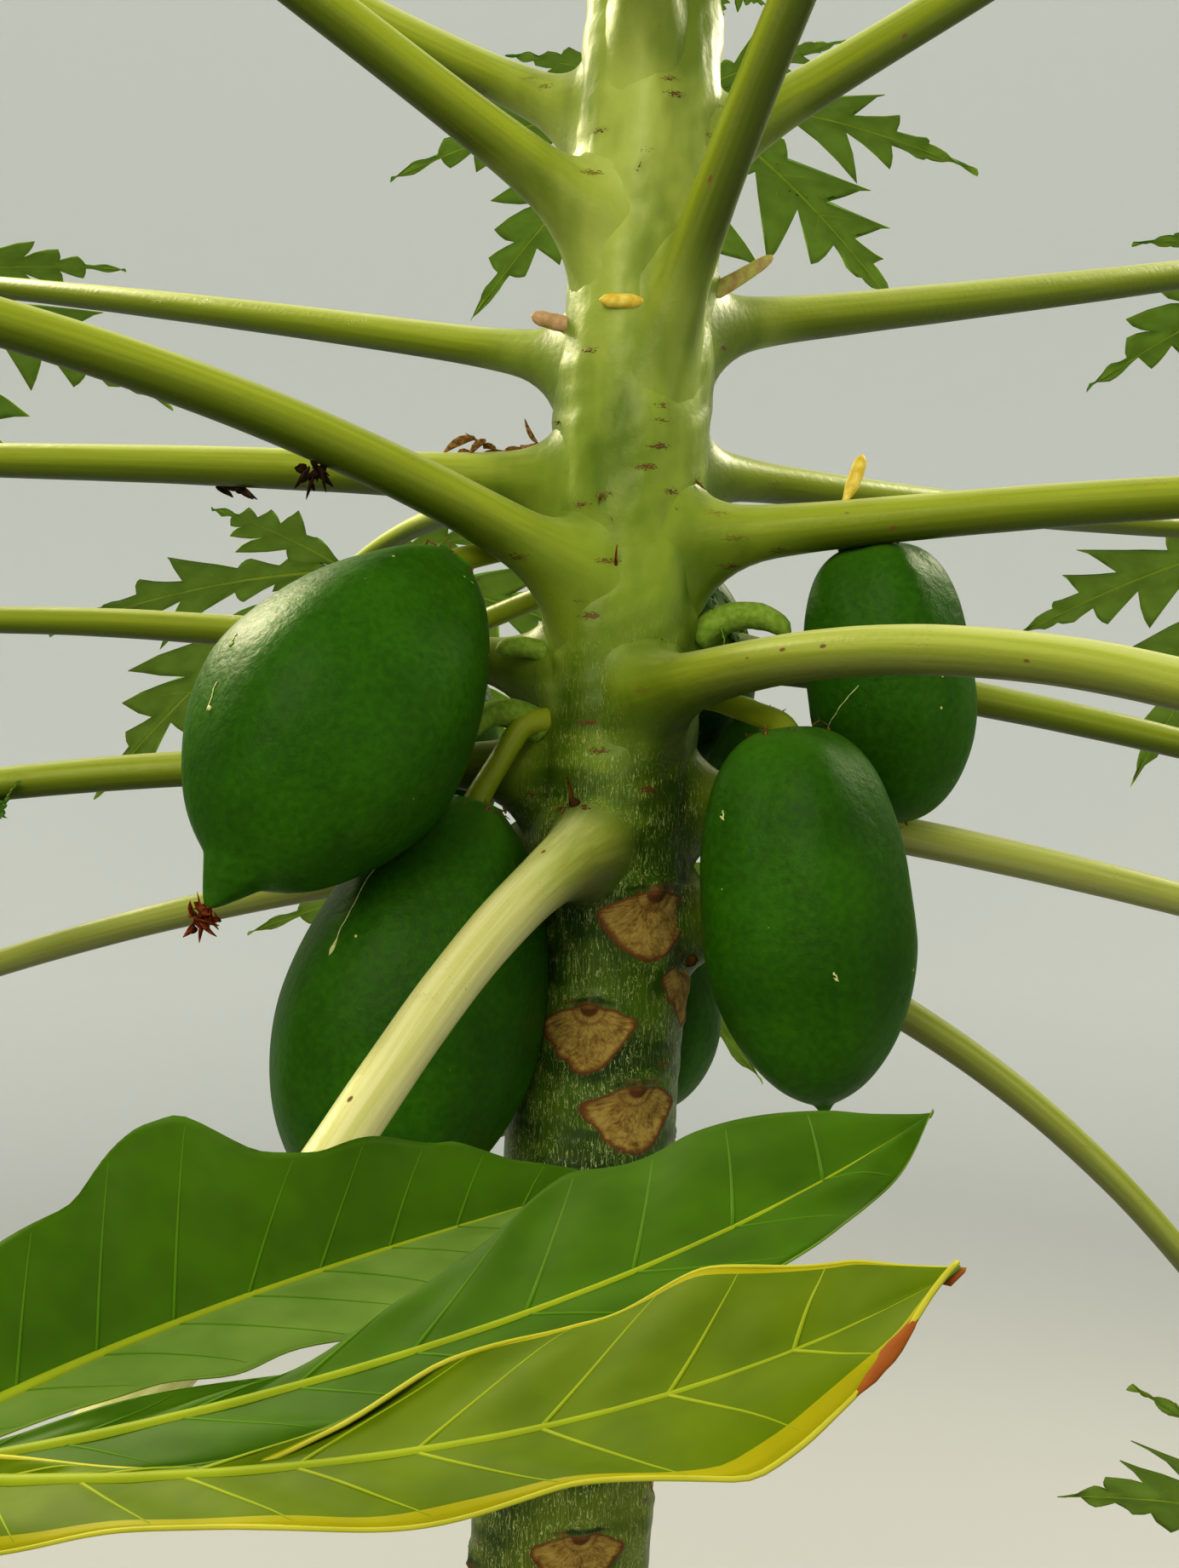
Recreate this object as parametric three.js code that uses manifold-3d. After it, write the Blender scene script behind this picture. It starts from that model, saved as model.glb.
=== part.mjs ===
import * as THREE from 'three';
import { mergeVertices } from 'three/addons/utils/BufferGeometryUtils.js';
import Module from 'manifold-3d';

// A fruiting papaya tree: one leaning trunk, leaf stalks that stand out all round it, each with a
// seven-lobed blade at its end, green fruits hung close to the trunk under the stalks, and a tuft of
// young leaves on the growing tip. Millimetres and degrees, +Z up, origin at the middle of the trunk's
// flat cut at ground level. Bearings are counted from +X towards +Y.

// Clearance between two pieces that touch on the plant
const SEAT = 0.3;
const WELD = 1e-4;
// Edges left by a join of blades are drawn together within this distance, mm
const SLIVER = 0.05;

// Trunk: it leans towards +X, bows back upright as it climbs, and flares into five low root ridges
const TRUNK_HEIGHT = 2080;
const TRUNK_RADIUS = 65;
const TRUNK_TAPER = 0.0128;
const TRUNK_LEAN = 250;
const TRUNK_BOW = 0.35;
const TRUNK_BACK = 18;
const FLARE_RADIUS = 20;
const FLARE_HEIGHT = 120;
const RIDGES = 5;
const RIDGE_RELIEF = 0.07;
const TIP_START = 1880;
const TIP_RADIUS = 15;
const TRUNK_SIDES = 18;
const TRUNK_RINGS = 16;
const RING_CROWDING = 1.15;

// Leaf stalks: swollen where they leave the trunk, then an even taper to the blade
const STALK_SINK = 24;
const STALK_ROOT = 8.4;
const STALK_SWELL = 9;
const STALK_SWELL_REACH = 30;
const STALK_TAPER = 0.62;
const STALK_SIDES = 6;
const STALK_RINGS = 6;
const WALK_STEPS = 32;

// Blades: lobes round a hub, the middle one longest, each with a pair of side lobes
const LOBE_STEP = 42;
const LOBE_LENGTHS = [1, 0.93, 0.78, 0.52];
const SINUS = 0.27;
const LOBE_PROFILE = [
  [0.42, 0.075],
  [0.63, 0.235],
  [0.74, 0.105],
];
const BASAL_PROFILE = [
  [0.5, 0.13],
  [0.76, 0.19],
];
const OLD_LOBE_PROFILE = [
  [0, 0.05],
  [0.15, 0.09],
  [0.32, 0.12],
  [0.48, 0.18],
  [0.6, 0.22],
  [0.72, 0.17],
  [0.86, 0.1],
];
const BLADE_THICKNESS = 0.018;
const BLADE_SAG = 0.3;
const HUB_REACH = 23;
const HUB_NOTCH = 5;
const HUB_STUB = 32;
const STUB_SIDES = 5;
const STUB_TAPER = 0.8;

// Fruits: five soft ribs, the neck at the fruit stalk and a blunt or drawn-out blossom end
const FRUIT_SIDES = 15;
const FRUIT_RINGS = 9;
const FRUIT_RIBS = 5;
const FRUIT_RIB_RELIEF = 0.025;
const NIPPLE_WIDTH = 0.2;
const NIPPLE_ROUNDING = 24;
const PEDUNCLE_SIDES = 5;
const PEDUNCLE_RINGS = 4;
const PEDUNCLE_RADIUS = 8;

// Each leaf: where its stalk leaves the trunk (height, side), the bearings that it starts and ends
// with (from, to), its climb at the start, its bow between and its climb at the end (fall), its length
// and half-thickness, and its blade's length, bearing (face), nod and roll
const LEAVES = [
  { height: 1382, side: 5, from: 8, to: 22, climb: -16, bow: -46, fall: -60, length: 640, half: 11,
    blade: 335, face: 24, nod: 60, roll: 0 },
  { height: 1413, side: 146, from: 165, to: 164, climb: -6, bow: -15, fall: -24, length: 650, half: 11,
    blade: 335, face: 164, nod: 44, roll: 0 },
  { height: 1418, side: -92, from: -120.4, to: -99.9, climb: -10.4, bow: -62.4, fall: 28, length: 649,
    half: 15, blade: 320, old: true },
  { height: 1445, side: 12, from: 2, to: 2, climb: -8, bow: -15, fall: -22, length: 660, half: 12,
    blade: 345, face: 2, nod: 44, roll: 0 },
  { height: 1457, side: 174, from: 181, to: 184, climb: 4, bow: -6, fall: -16, length: 640, half: 12,
    blade: 345, face: 182, nod: 44, roll: 0 },
  { height: 1470, side: 102, from: 98, to: 92, climb: 8, bow: -8, fall: -24, length: 640, half: 12,
    blade: 345, face: 90, nod: 40, roll: 0 },
  { height: 1494, side: -76, from: -54, to: -40, climb: 14, bow: -13, fall: -40, length: 690, half: 14,
    blade: 355, face: -36, nod: 46, roll: 0 },
  { height: 1514, side: 172, from: 165, to: 158, climb: 10, bow: 3, fall: -4, length: 700, half: 11,
    blade: 355, face: 158, nod: 36, roll: 0 },
  { height: 1531, side: 22, from: 18, to: 20, climb: -6, bow: -11, fall: -16, length: 700, half: 12,
    blade: 345, face: 20, nod: 40, roll: 0 },
  { height: 1558, side: -117, from: 207, to: 209, climb: 30, bow: 5, fall: 5, length: 700, half: 15,
    blade: 365, face: 209, nod: 36, roll: 0 },
  { height: 1587, side: -48, from: -8, to: -2, climb: 6, bow: 2, fall: -2, length: 720, half: 14,
    blade: 365, face: -2, nod: 36, roll: 0 },
  { height: 1605, side: 104, from: 108, to: 112, climb: 14, bow: 4, fall: -6, length: 700, half: 12,
    blade: 355, face: 112, nod: 34, roll: 0 },
  { height: 1624, side: 182, from: 164, to: 160, climb: 6, bow: 4, fall: 2, length: 720, half: 14,
    blade: 355, face: 160, nod: 30, roll: 0 },
  { height: 1636, side: 35, from: 40, to: 44, climb: 0, bow: 2, fall: 4, length: 720, half: 12,
    blade: 355, face: 44, nod: 36, roll: 0 },
  { height: 1670, side: -77, from: -46, to: -40, climb: 64, bow: 56, fall: 48, length: 640, half: 14,
    blade: 355, face: -40, nod: 12, roll: 0 },
  { height: 1695, side: 165, from: 146, to: 140, climb: 14, bow: 13, fall: 12, length: 720, half: 12,
    blade: 355, face: 140, nod: 24, roll: 0 },
  { height: 1715, side: 18, from: 34, to: 38, climb: 12, bow: 13, fall: 14, length: 720, half: 14,
    blade: 355, face: 38, nod: 24, roll: 0 },
  { height: 1742, side: 88, from: 86, to: 84, climb: 34, bow: 29, fall: 24, length: 660, half: 12,
    blade: 345, face: 84, nod: 16, roll: 0 },
  { height: 1759, side: -112, from: 194, to: 200, climb: 35, bow: 32.5, fall: 30, length: 660, half: 15,
    blade: 345, face: 200, nod: 8, roll: 0 },
  { height: 1808, side: 2, from: 14, to: 16, climb: 34, bow: 33, fall: 32, length: 660, half: 14,
    blade: 345, face: 16, nod: 8, roll: 0 },
  { height: 1832, side: 165, from: 152, to: 150, climb: 28, bow: 34, fall: 40, length: 620, half: 13,
    blade: 320, face: 150, nod: 2, roll: 0 },
  { height: 1850, side: -92, from: -96, to: -98, climb: 62, bow: 57, fall: 52, length: 560, half: 14,
    blade: 310, face: -98, nod: 6, roll: 0 },
];

// The old leaf's lobes, which have curled apart: each one's rib in the stalks' terms, the tilt of its
// blade across the rib, and how full its left and right halves are
const OLD_LOBES = [
  { from: 112, to: 128, climb: 14, bow: 2, fall: -16, length: 280, tilt: 6, left: 1, right: 0.8 },
  { from: 58.6, to: 32.8, climb: 9.5, bow: 3.6, fall: 7.4, length: 302, tilt: 14, left: 1.05, right: 0.7 },
  { from: -14.2, to: 35.6, climb: 12.1, bow: 13.3, fall: 21.9, length: 327, tilt: 16, left: 1, right: 0.55 },
  { from: -38.1, to: 8.9, climb: 13.7, bow: 1.1, fall: 27.7, length: 311, tilt: 18, left: 1, right: 0.4 },
  { from: -78, to: -62, climb: -4, bow: -30, fall: -58, length: 310, tilt: 0, left: 0.8, right: 0.8 },
  { from: -122, to: -128, climb: 2, bow: -28, fall: -60, length: 290, tilt: 0, left: 0.8, right: 0.8 },
  { from: -172, to: 176, climb: 6, bow: -16, fall: -44, length: 240, tilt: 0, left: 0.8, right: 0.8 },
];

// Young leaves of the tuft on the growing tip, in the same terms as the others
const YOUNG_LEAVES = [
  { height: 2092, side: 40, from: 40, to: 36, climb: 48, bow: 52, fall: 56, length: 420, half: 9,
    blade: 220, face: 36, nod: -6, roll: 0 },
  { height: 2100, side: 176, from: 176, to: 180, climb: 54, bow: 57, fall: 60, length: 400, half: 9,
    blade: 200, face: 180, nod: -10, roll: 0 },
  { height: 2108, side: -50, from: -50, to: -46, climb: 60, bow: 63, fall: 66, length: 360, half: 8,
    blade: 180, face: -46, nod: -16, roll: 0 },
  { height: 2120, side: 100, from: 100, to: 96, climb: 66, bow: 69, fall: 72, length: 330, half: 7,
    blade: 160, face: 96, nod: -24, roll: 0 },
  { height: 2132, side: -120, from: -120, to: -124, climb: 74, bow: 77, fall: 80, length: 240, half: 6,
    blade: 120, face: -124, nod: -40, roll: 0 },
];
const TUFT_SIDES = 10;
const TUFT_SINK = 6;
const TUFT_PROFILE = [
  [0, 0],
  [14, 0],
  [14, 36],
  [7, 72],
  [0, 90],
];

// Each fruit: its neck and its blossom end, its half-width, how far down its widest part (belly) lies,
// how full it is above and below that (2 is an ellipse), how much of it is a drawn-out nipple, and
// where its stalk leaves the trunk
const FRUITS = [
  { neck: [40, -32, 1573], end: [-74, -140, 1388], half: 74, height: 1590, side: 180,
    belly: 0.5, neckForm: 1.7, tipForm: 1.75, nipple: 0.1 },
  { neck: [54, -22, 1440], end: [-16, -46, 1204], half: 74, height: 1486, side: 204,
    belly: 0.54, neckForm: 1.8, tipForm: 1.9, nipple: 0.04 },
  { neck: [224, -66, 1480], end: [244, -76, 1272], half: 57, height: 1500, side: -30,
    belly: 0.56, neckForm: 2.15, tipForm: 1.75, nipple: 0.03 },
  { neck: [280, 2, 1588], end: [300, 4, 1428], half: 48, height: 1602, side: 10,
    belly: 0.56, neckForm: 2.3, tipForm: 1.9, nipple: 0 },
  { neck: [222, 92, 1494], end: [234, 106, 1350], half: 42, height: 1506, side: 52,
    belly: 0.55, neckForm: 2.2, tipForm: 1.8, nipple: 0.03 },
  { neck: [152, 108, 1378], end: [158, 112, 1238], half: 45, height: 1404, side: 84,
    belly: 0.55, neckForm: 2.0, tipForm: 1.8, nipple: 0.03 },
  { neck: [24, 106, 1540], end: [8, 126, 1384], half: 44, height: 1566, side: 138,
    belly: 0.54, neckForm: 2.0, tipForm: 1.8, nipple: 0.03 },
  { neck: [174, 126, 1592], end: [180, 156, 1450], half: 47, height: 1600, side: 70,
    belly: 0.56, neckForm: 2.1, tipForm: 1.8, nipple: 0.03 },
  { neck: [62, 102, 1362], end: [50, 122, 1220], half: 45, height: 1392, side: 134,
    belly: 0.56, neckForm: 2.1, tipForm: 1.8, nipple: 0.03 },
  { neck: [158, 92, 1704], end: [162, 112, 1628], half: 27, height: 1716, side: 68,
    belly: 0.55, neckForm: 2.1, tipForm: 1.7, nipple: 0.08 },
];

const wasm = await Module();
wasm.setup();

const radians = THREE.MathUtils.degToRad;

// Materials
const bark = { color: 0x6f8a3a, roughness: 0.6, metalness: 0 };
const stalkSkin = { color: 0x93a436, roughness: 0.45, metalness: 0 };
const leafSkin = { color: 0x4c7a14, roughness: 0.55, metalness: 0 };
const fruitSkin = { color: 0x255c14, roughness: 0.4, metalness: 0 };
const youngSkin = { color: 0x8fb03c, roughness: 0.5, metalness: 0 };

// Solids and meshes

function signedVolume(places, corners) {
  const a = new THREE.Vector3();
  const b = new THREE.Vector3();
  const c = new THREE.Vector3();
  let sum = 0;
  for (let i = 0; i < corners.length; i += 3) {
    a.fromArray(places, 3 * corners[i]);
    b.fromArray(places, 3 * corners[i + 1]);
    c.fromArray(places, 3 * corners[i + 2]);
    sum += a.dot(b.cross(c));
  }
  return sum / 6;
}

// One closed solid from a geometry: seams welded, flat triangles dropped, faces turned outward
function solidOf(geometry) {
  const bare = geometry.clone();
  bare.deleteAttribute('normal');
  bare.deleteAttribute('uv');
  const welded = mergeVertices(bare, WELD);
  const corners = [];
  for (let i = 0; i < welded.index.count; i += 3) {
    const [a, b, c] = [welded.index.getX(i), welded.index.getX(i + 1), welded.index.getX(i + 2)];
    if (a !== b && b !== c && c !== a) {
      corners.push(a, b, c);
    }
  }
  const vertProperties = welded.attributes.position.array;
  if (signedVolume(vertProperties, corners) < 0) {
    corners.reverse();
  }
  const triVerts = new Uint32Array(corners);
  return new wasm.Manifold(new wasm.Mesh({ numProp: 3, vertProperties, triVerts }));
}

function meshOf(name, solid, skin) {
  const { vertProperties, triVerts } = solid.getMesh();
  const geometry = new THREE.BufferGeometry();
  geometry.setAttribute('position', new THREE.BufferAttribute(vertProperties, 3));
  geometry.setIndex(new THREE.BufferAttribute(triVerts, 1));
  geometry.computeVertexNormals();
  const mesh = new THREE.Mesh(geometry, new THREE.MeshStandardMaterial(skin));
  mesh.name = name;
  return mesh;
}

// Moves every vertex of a geometry to what a rule gives for its place
function reshape(geometry, rule) {
  const places = geometry.attributes.position;
  const place = new THREE.Vector3();
  for (let i = 0; i < places.count; i += 1) {
    place.fromBufferAttribute(places, i);
    const moved = rule(place);
    places.setXYZ(i, moved.x, moved.y, moved.z);
  }
  return geometry;
}

// Trunk

function trunkAxis(z) {
  const part = z / TRUNK_HEIGHT;
  return new THREE.Vector3(TRUNK_LEAN * part * (1 - TRUNK_BOW * part), TRUNK_BACK * part, z);
}

function trunkRadius(z) {
  const stem = TRUNK_RADIUS - TRUNK_TAPER * z;
  const tip = THREE.MathUtils.smoothstep(z, TIP_START, TRUNK_HEIGHT);
  return THREE.MathUtils.lerp(stem, TIP_RADIUS, tip) + FLARE_RADIUS * Math.exp(-z / FLARE_HEIGHT);
}

// The trunk as a lathe that is leaned and ridged, grown all round by a clearance
function trunkSolid(clearance) {
  const wider = clearance / Math.cos(Math.PI / TRUNK_SIDES);
  const profile = [new THREE.Vector2(0, 0)];
  for (let ring = 0; ring <= TRUNK_RINGS; ring += 1) {
    const z = TRUNK_HEIGHT * (ring / TRUNK_RINGS) ** RING_CROWDING;
    profile.push(new THREE.Vector2(trunkRadius(z) + wider, z));
  }
  profile.push(new THREE.Vector2(0, TRUNK_HEIGHT));
  const lathe = new THREE.LatheGeometry(profile, TRUNK_SIDES);
  return solidOf(reshape(lathe, (place) => {
    const ridge = Math.cos(RIDGES * Math.atan2(place.z, place.x)) * Math.exp(-place.y / FLARE_HEIGHT);
    const axis = trunkAxis(place.y);
    const swell = 1 + RIDGE_RELIEF * ridge;
    return new THREE.Vector3(axis.x + place.x * swell, axis.y + place.z * swell, place.y);
  }));
}

// A point at a height and side of the trunk, some way out from its surface
function trunkPoint(height, side, out) {
  const reach = trunkRadius(height) + out;
  const turn = radians(side);
  return trunkAxis(height).add(new THREE.Vector3(reach * Math.cos(turn), reach * Math.sin(turn), 0));
}

// Leaf stalks

function bearing(turn, climb) {
  const [a, b] = [radians(turn), radians(climb)];
  return new THREE.Vector3(Math.cos(b) * Math.cos(a), Math.cos(b) * Math.sin(a), Math.sin(b));
}

// The level direction across a heading, and the one that stands up from both
function sidesOf(ahead) {
  const across = new THREE.Vector3(-ahead.y, ahead.x, 0).normalize();
  return [across, new THREE.Vector3().crossVectors(ahead, across)];
}

// The shorter way round from one bearing to another
function turnBetween(from, to) {
  return THREE.MathUtils.euclideanModulo(to - from + 180, 360) - 180;
}

// A stalk's direction at a share of its length: its bearing turns evenly, and its climb follows a
// quadratic curve whose control value is the bow
function stalkHeading(leaf, part) {
  const turn = leaf.from + turnBetween(leaf.from, leaf.to) * part;
  const rest = 1 - part;
  const climb = rest * rest * leaf.climb + 2 * rest * part * leaf.bow + part * part * leaf.fall;
  return bearing(turn, climb);
}

// A stalk's place after a reach along it, walked in small steps from its foot inside the trunk
function stalkPlace(leaf, foot, reach) {
  const place = foot.clone();
  const step = reach / WALK_STEPS;
  for (let i = 0; i < WALK_STEPS; i += 1) {
    place.addScaledVector(stalkHeading(leaf, (step * (i + 0.5)) / leaf.length), step);
  }
  return place;
}

// A lathe whose height runs along a stalk
function bendAlong(geometry, leaf, foot) {
  return reshape(geometry, (place) => {
    const ahead = stalkHeading(leaf, place.y / leaf.length);
    const [across, up] = sidesOf(ahead);
    return stalkPlace(leaf, foot, place.y).addScaledVector(across, place.x).addScaledVector(up, place.z);
  });
}

function stalkSolid(leaf, foot) {
  const stations = [0, STALK_ROOT, STALK_SINK, STALK_SINK + STALK_SWELL_REACH];
  const swollen = stations[stations.length - 1];
  for (let ring = 1; ring <= STALK_RINGS; ring += 1) {
    stations.push(swollen + ((leaf.length - swollen) * ring) / STALK_RINGS);
  }
  const profile = [new THREE.Vector2(0, 0)];
  for (const reach of stations) {
    const taper = THREE.MathUtils.lerp(1, STALK_TAPER, reach / leaf.length);
    const past = Math.max(reach - STALK_SINK, 0);
    const swell = STALK_SWELL * Math.exp(-past / STALK_SWELL_REACH);
    profile.push(new THREE.Vector2(leaf.half * taper + (reach > 0 ? swell : 0), reach));
  }
  profile.push(new THREE.Vector2(0, leaf.length));
  return solidOf(bendAlong(new THREE.LatheGeometry(profile, STALK_SIDES), leaf, foot));
}

// Blades

// The outline of a blade of unit length, once round from the notch at the stalk
function bladeOutline() {
  const outline = [[0, 0]];
  const most = LOBE_LENGTHS.length - 1;
  for (let lobe = -most; lobe <= most; lobe += 1) {
    const size = LOBE_LENGTHS[Math.abs(lobe)];
    const profile = Math.abs(lobe) === most ? BASAL_PROFILE : LOBE_PROFILE;
    const turn = radians(LOBE_STEP * lobe);
    const place = (along, aside) => [
      size * (along * Math.cos(turn) - aside * Math.sin(turn)),
      size * (along * Math.sin(turn) + aside * Math.cos(turn)),
    ];
    for (const [along, aside] of profile) {
      outline.push(place(along, -aside));
    }
    outline.push(place(1, 0));
    for (const [along, aside] of [...profile].reverse()) {
      outline.push(place(along, aside));
    }
    if (lobe < most) {
      const half = turn + radians(LOBE_STEP / 2);
      const deep = (SINUS * (size + LOBE_LENGTHS[Math.abs(lobe + 1)])) / 2;
      outline.push([deep * Math.cos(half), deep * Math.sin(half)]);
    }
  }
  return outline;
}

// A blade as a thin plate that sags outwards from its hub
function bladePlate(leaf, hub) {
  const thick = BLADE_THICKNESS * leaf.blade;
  const outline = bladeOutline().map(([x, y]) => new THREE.Vector2(x * leaf.blade, y * leaf.blade));
  outline[0].x = -HUB_NOTCH;
  const plate = new THREE.ExtrudeGeometry(new THREE.Shape(outline), { depth: thick, bevelEnabled: false });
  const front = bearing(leaf.face, -leaf.nod);
  const [left, up] = sidesOf(front);
  left.applyAxisAngle(front, radians(leaf.roll));
  up.applyAxisAngle(front, radians(leaf.roll));
  return solidOf(reshape(plate, (place) => {
    const out = Math.hypot(place.x, place.y);
    const sag = (BLADE_SAG * out * out) / leaf.blade;
    return hub.clone()
      .addScaledVector(front, place.x)
      .addScaledVector(left, place.y)
      .addScaledVector(up, place.z - thick / 2 - sag);
  }));
}

// The blade of an old leaf: each lobe is a thin plate whose middle follows its own rib
function oldBlade(leaf, hub) {
  const thick = BLADE_THICKNESS * leaf.blade;
  const plates = OLD_LOBES.map((lobe) => {
    const edge = (full, side) => OLD_LOBE_PROFILE.map(([along, wide]) => (
      new THREE.Vector2(along * lobe.length, side * full * wide * lobe.length)
    ));
    const tip = new THREE.Vector2(lobe.length, 0);
    const outline = [...edge(lobe.right, -1), tip, ...edge(lobe.left, 1).reverse()];
    const plate = new THREE.ExtrudeGeometry(new THREE.Shape(outline), { depth: thick, bevelEnabled: false });
    return solidOf(reshape(plate, (place) => {
      const ahead = stalkHeading(lobe, place.x / lobe.length);
      const [across, up] = sidesOf(ahead);
      const tilt = radians(lobe.tilt);
      return stalkPlace(lobe, hub, place.x)
        .addScaledVector(across.applyAxisAngle(ahead, tilt), place.y)
        .addScaledVector(up.applyAxisAngle(ahead, tilt), place.z - thick / 2);
    }));
  });
  return plates.reduce((whole, plate) => whole.add(plate));
}

// A blade with the stub that meets its stalk's end
function bladeSolid(leaf, foot) {
  const end = stalkPlace(leaf, foot, leaf.length);
  const ahead = stalkHeading(leaf, 1);
  const [across, over] = sidesOf(ahead);
  const girth = leaf.half * STALK_TAPER;
  const profile = [
    new THREE.Vector2(0, SEAT),
    new THREE.Vector2(girth, SEAT),
    new THREE.Vector2(STUB_TAPER * girth, HUB_STUB),
    new THREE.Vector2(0, HUB_STUB),
  ];
  const stub = reshape(new THREE.LatheGeometry(profile, STUB_SIDES), (place) => (
    end.clone()
      .addScaledVector(ahead, place.y)
      .addScaledVector(across, place.x)
      .addScaledVector(over, place.z)
  ));
  const hub = end.clone().addScaledVector(ahead, HUB_REACH);
  return (leaf.old ? oldBlade(leaf, hub) : bladePlate(leaf, hub)).add(solidOf(stub))
    .asOriginal()
    .simplify(SLIVER);
}

// Fruits

// A fruit's half-width at a share of its length from the neck: two superellipses that meet at the
// belly, blended with a slim nipple that runs on to the end
function fruitWidth(fruit, part) {
  const last = 1 - fruit.nipple;
  const above = part < fruit.belly;
  const away = above ? 1 - part / fruit.belly : (part - fruit.belly) / (last - fruit.belly);
  const form = above ? fruit.neckForm : fruit.tipForm;
  const body = Math.max(1 - away ** form, 0) ** (1 / form);
  const nipple = fruit.nipple > 0 ? NIPPLE_WIDTH * Math.sqrt(1 - part ** NIPPLE_ROUNDING) : 0;
  return fruit.half * Math.cbrt(body ** 3 + nipple ** 3);
}

function fruitSolid(fruit) {
  const neck = new THREE.Vector3(...fruit.neck);
  const end = new THREE.Vector3(...fruit.end);
  const down = end.clone().sub(neck);
  const length = down.length();
  const turned = new THREE.Quaternion().setFromUnitVectors(new THREE.Vector3(0, 1, 0), down.normalize());
  const profile = [];
  for (let ring = 0; ring <= FRUIT_RINGS; ring += 1) {
    const part = (1 - Math.cos((Math.PI * ring) / FRUIT_RINGS)) / 2;
    const width = ring % FRUIT_RINGS === 0 ? 0 : fruitWidth(fruit, part);
    profile.push(new THREE.Vector2(width, part * length));
  }
  const body = reshape(new THREE.LatheGeometry(profile, FRUIT_SIDES), (place) => {
    const rib = 1 + FRUIT_RIB_RELIEF * Math.cos(FRUIT_RIBS * Math.atan2(place.z, place.x));
    return new THREE.Vector3(place.x * rib, place.y, place.z * rib).applyQuaternion(turned).add(neck);
  });
  return solidOf(body).add(peduncleSolid(fruit, neck, down));
}

// The fruit's own short stalk, bent from the trunk down into the neck
function peduncleSolid(fruit, neck, down) {
  const root = trunkPoint(fruit.height, fruit.side, -STALK_SINK / 2);
  const brow = trunkPoint(fruit.height, fruit.side, STALK_SINK / 2);
  const sunk = neck.clone().addScaledVector(down, STALK_SINK / 2);
  const route = new THREE.CatmullRomCurve3([root, brow, neck, sunk], false, 'centripetal');
  const profile = [new THREE.Vector2(0, 0)];
  for (let ring = 0; ring <= PEDUNCLE_RINGS; ring += 1) {
    profile.push(new THREE.Vector2(PEDUNCLE_RADIUS, ring / PEDUNCLE_RINGS));
  }
  profile.push(new THREE.Vector2(0, 1));
  const beside = bearing(fruit.side + 90, 0);
  return solidOf(reshape(new THREE.LatheGeometry(profile, PEDUNCLE_SIDES), (place) => {
    const ahead = route.getTangentAt(place.y);
    const over = new THREE.Vector3().crossVectors(ahead, beside).normalize();
    const across = new THREE.Vector3().crossVectors(over, ahead);
    return route.getPointAt(place.y).addScaledVector(across, place.x).addScaledVector(over, place.z);
  }));
}

// Tuft of young leaves on the growing tip

function tuftSolid() {
  const seat = trunkAxis(TRUNK_HEIGHT).add(new THREE.Vector3(0, 0, SEAT));
  const profile = TUFT_PROFILE.map(([out, rise]) => new THREE.Vector2(out, rise));
  let tuft = solidOf(reshape(new THREE.LatheGeometry(profile, TUFT_SIDES), (place) => (
    new THREE.Vector3(seat.x + place.x, seat.y + place.z, seat.z + place.y)
  )));
  for (const leaf of YOUNG_LEAVES) {
    const foot = seat.clone().setZ(leaf.height).addScaledVector(bearing(leaf.side, 0), TUFT_SINK);
    const hub = stalkPlace(leaf, foot, leaf.length - TUFT_SINK);
    tuft = tuft.add(stalkSolid(leaf, foot)).add(bladePlate(leaf, hub));
  }
  return tuft;
}

// The whole plant

const papaya = new THREE.Group();
papaya.add(meshOf('trunk', trunkSolid(0), bark));

const around = trunkSolid(SEAT);
const numbered = (name, index) => `${name}_${String(index + 1).padStart(2, '0')}`;

LEAVES.forEach((leaf, index) => {
  const foot = trunkPoint(leaf.height, leaf.side, -STALK_SINK);
  papaya.add(meshOf(numbered('petiole', index), stalkSolid(leaf, foot).subtract(around), stalkSkin));
  papaya.add(meshOf(numbered('leaf', index), bladeSolid(leaf, foot), leafSkin));
});

FRUITS.forEach((fruit, index) => {
  papaya.add(meshOf(numbered('fruit', index), fruitSolid(fruit).subtract(around), fruitSkin));
});

papaya.add(meshOf('crown_tuft', tuftSolid(), youngSkin));

export default papaya;
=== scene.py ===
"""A fruiting papaya tree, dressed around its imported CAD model.

Every shape is a closed surface worked out with numpy: rows of points carried along a path, each row once
round, with a pole at both ends. Metres and degrees, +Z up, the tree's foot at the origin.
"""

import math
from typing import NamedTuple

import bpy
import numpy as np
from bpy.props import FloatProperty, FloatVectorProperty, IntProperty, PointerProperty
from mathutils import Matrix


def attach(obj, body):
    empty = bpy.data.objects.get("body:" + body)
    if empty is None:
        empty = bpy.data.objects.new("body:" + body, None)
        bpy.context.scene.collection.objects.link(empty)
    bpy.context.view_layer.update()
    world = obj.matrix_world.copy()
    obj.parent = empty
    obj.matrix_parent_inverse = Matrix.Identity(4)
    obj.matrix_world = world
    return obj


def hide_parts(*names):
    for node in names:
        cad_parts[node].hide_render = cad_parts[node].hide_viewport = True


bl_info = {
    "name": "Papaya tree",
    "version": (1, 0, 0),
    "blender": (4, 5, 0),
    "location": "3D View > Sidebar > Papaya",
    "description": "Builds a fruiting papaya tree around its packed model",
    "category": "Object",
}

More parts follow.
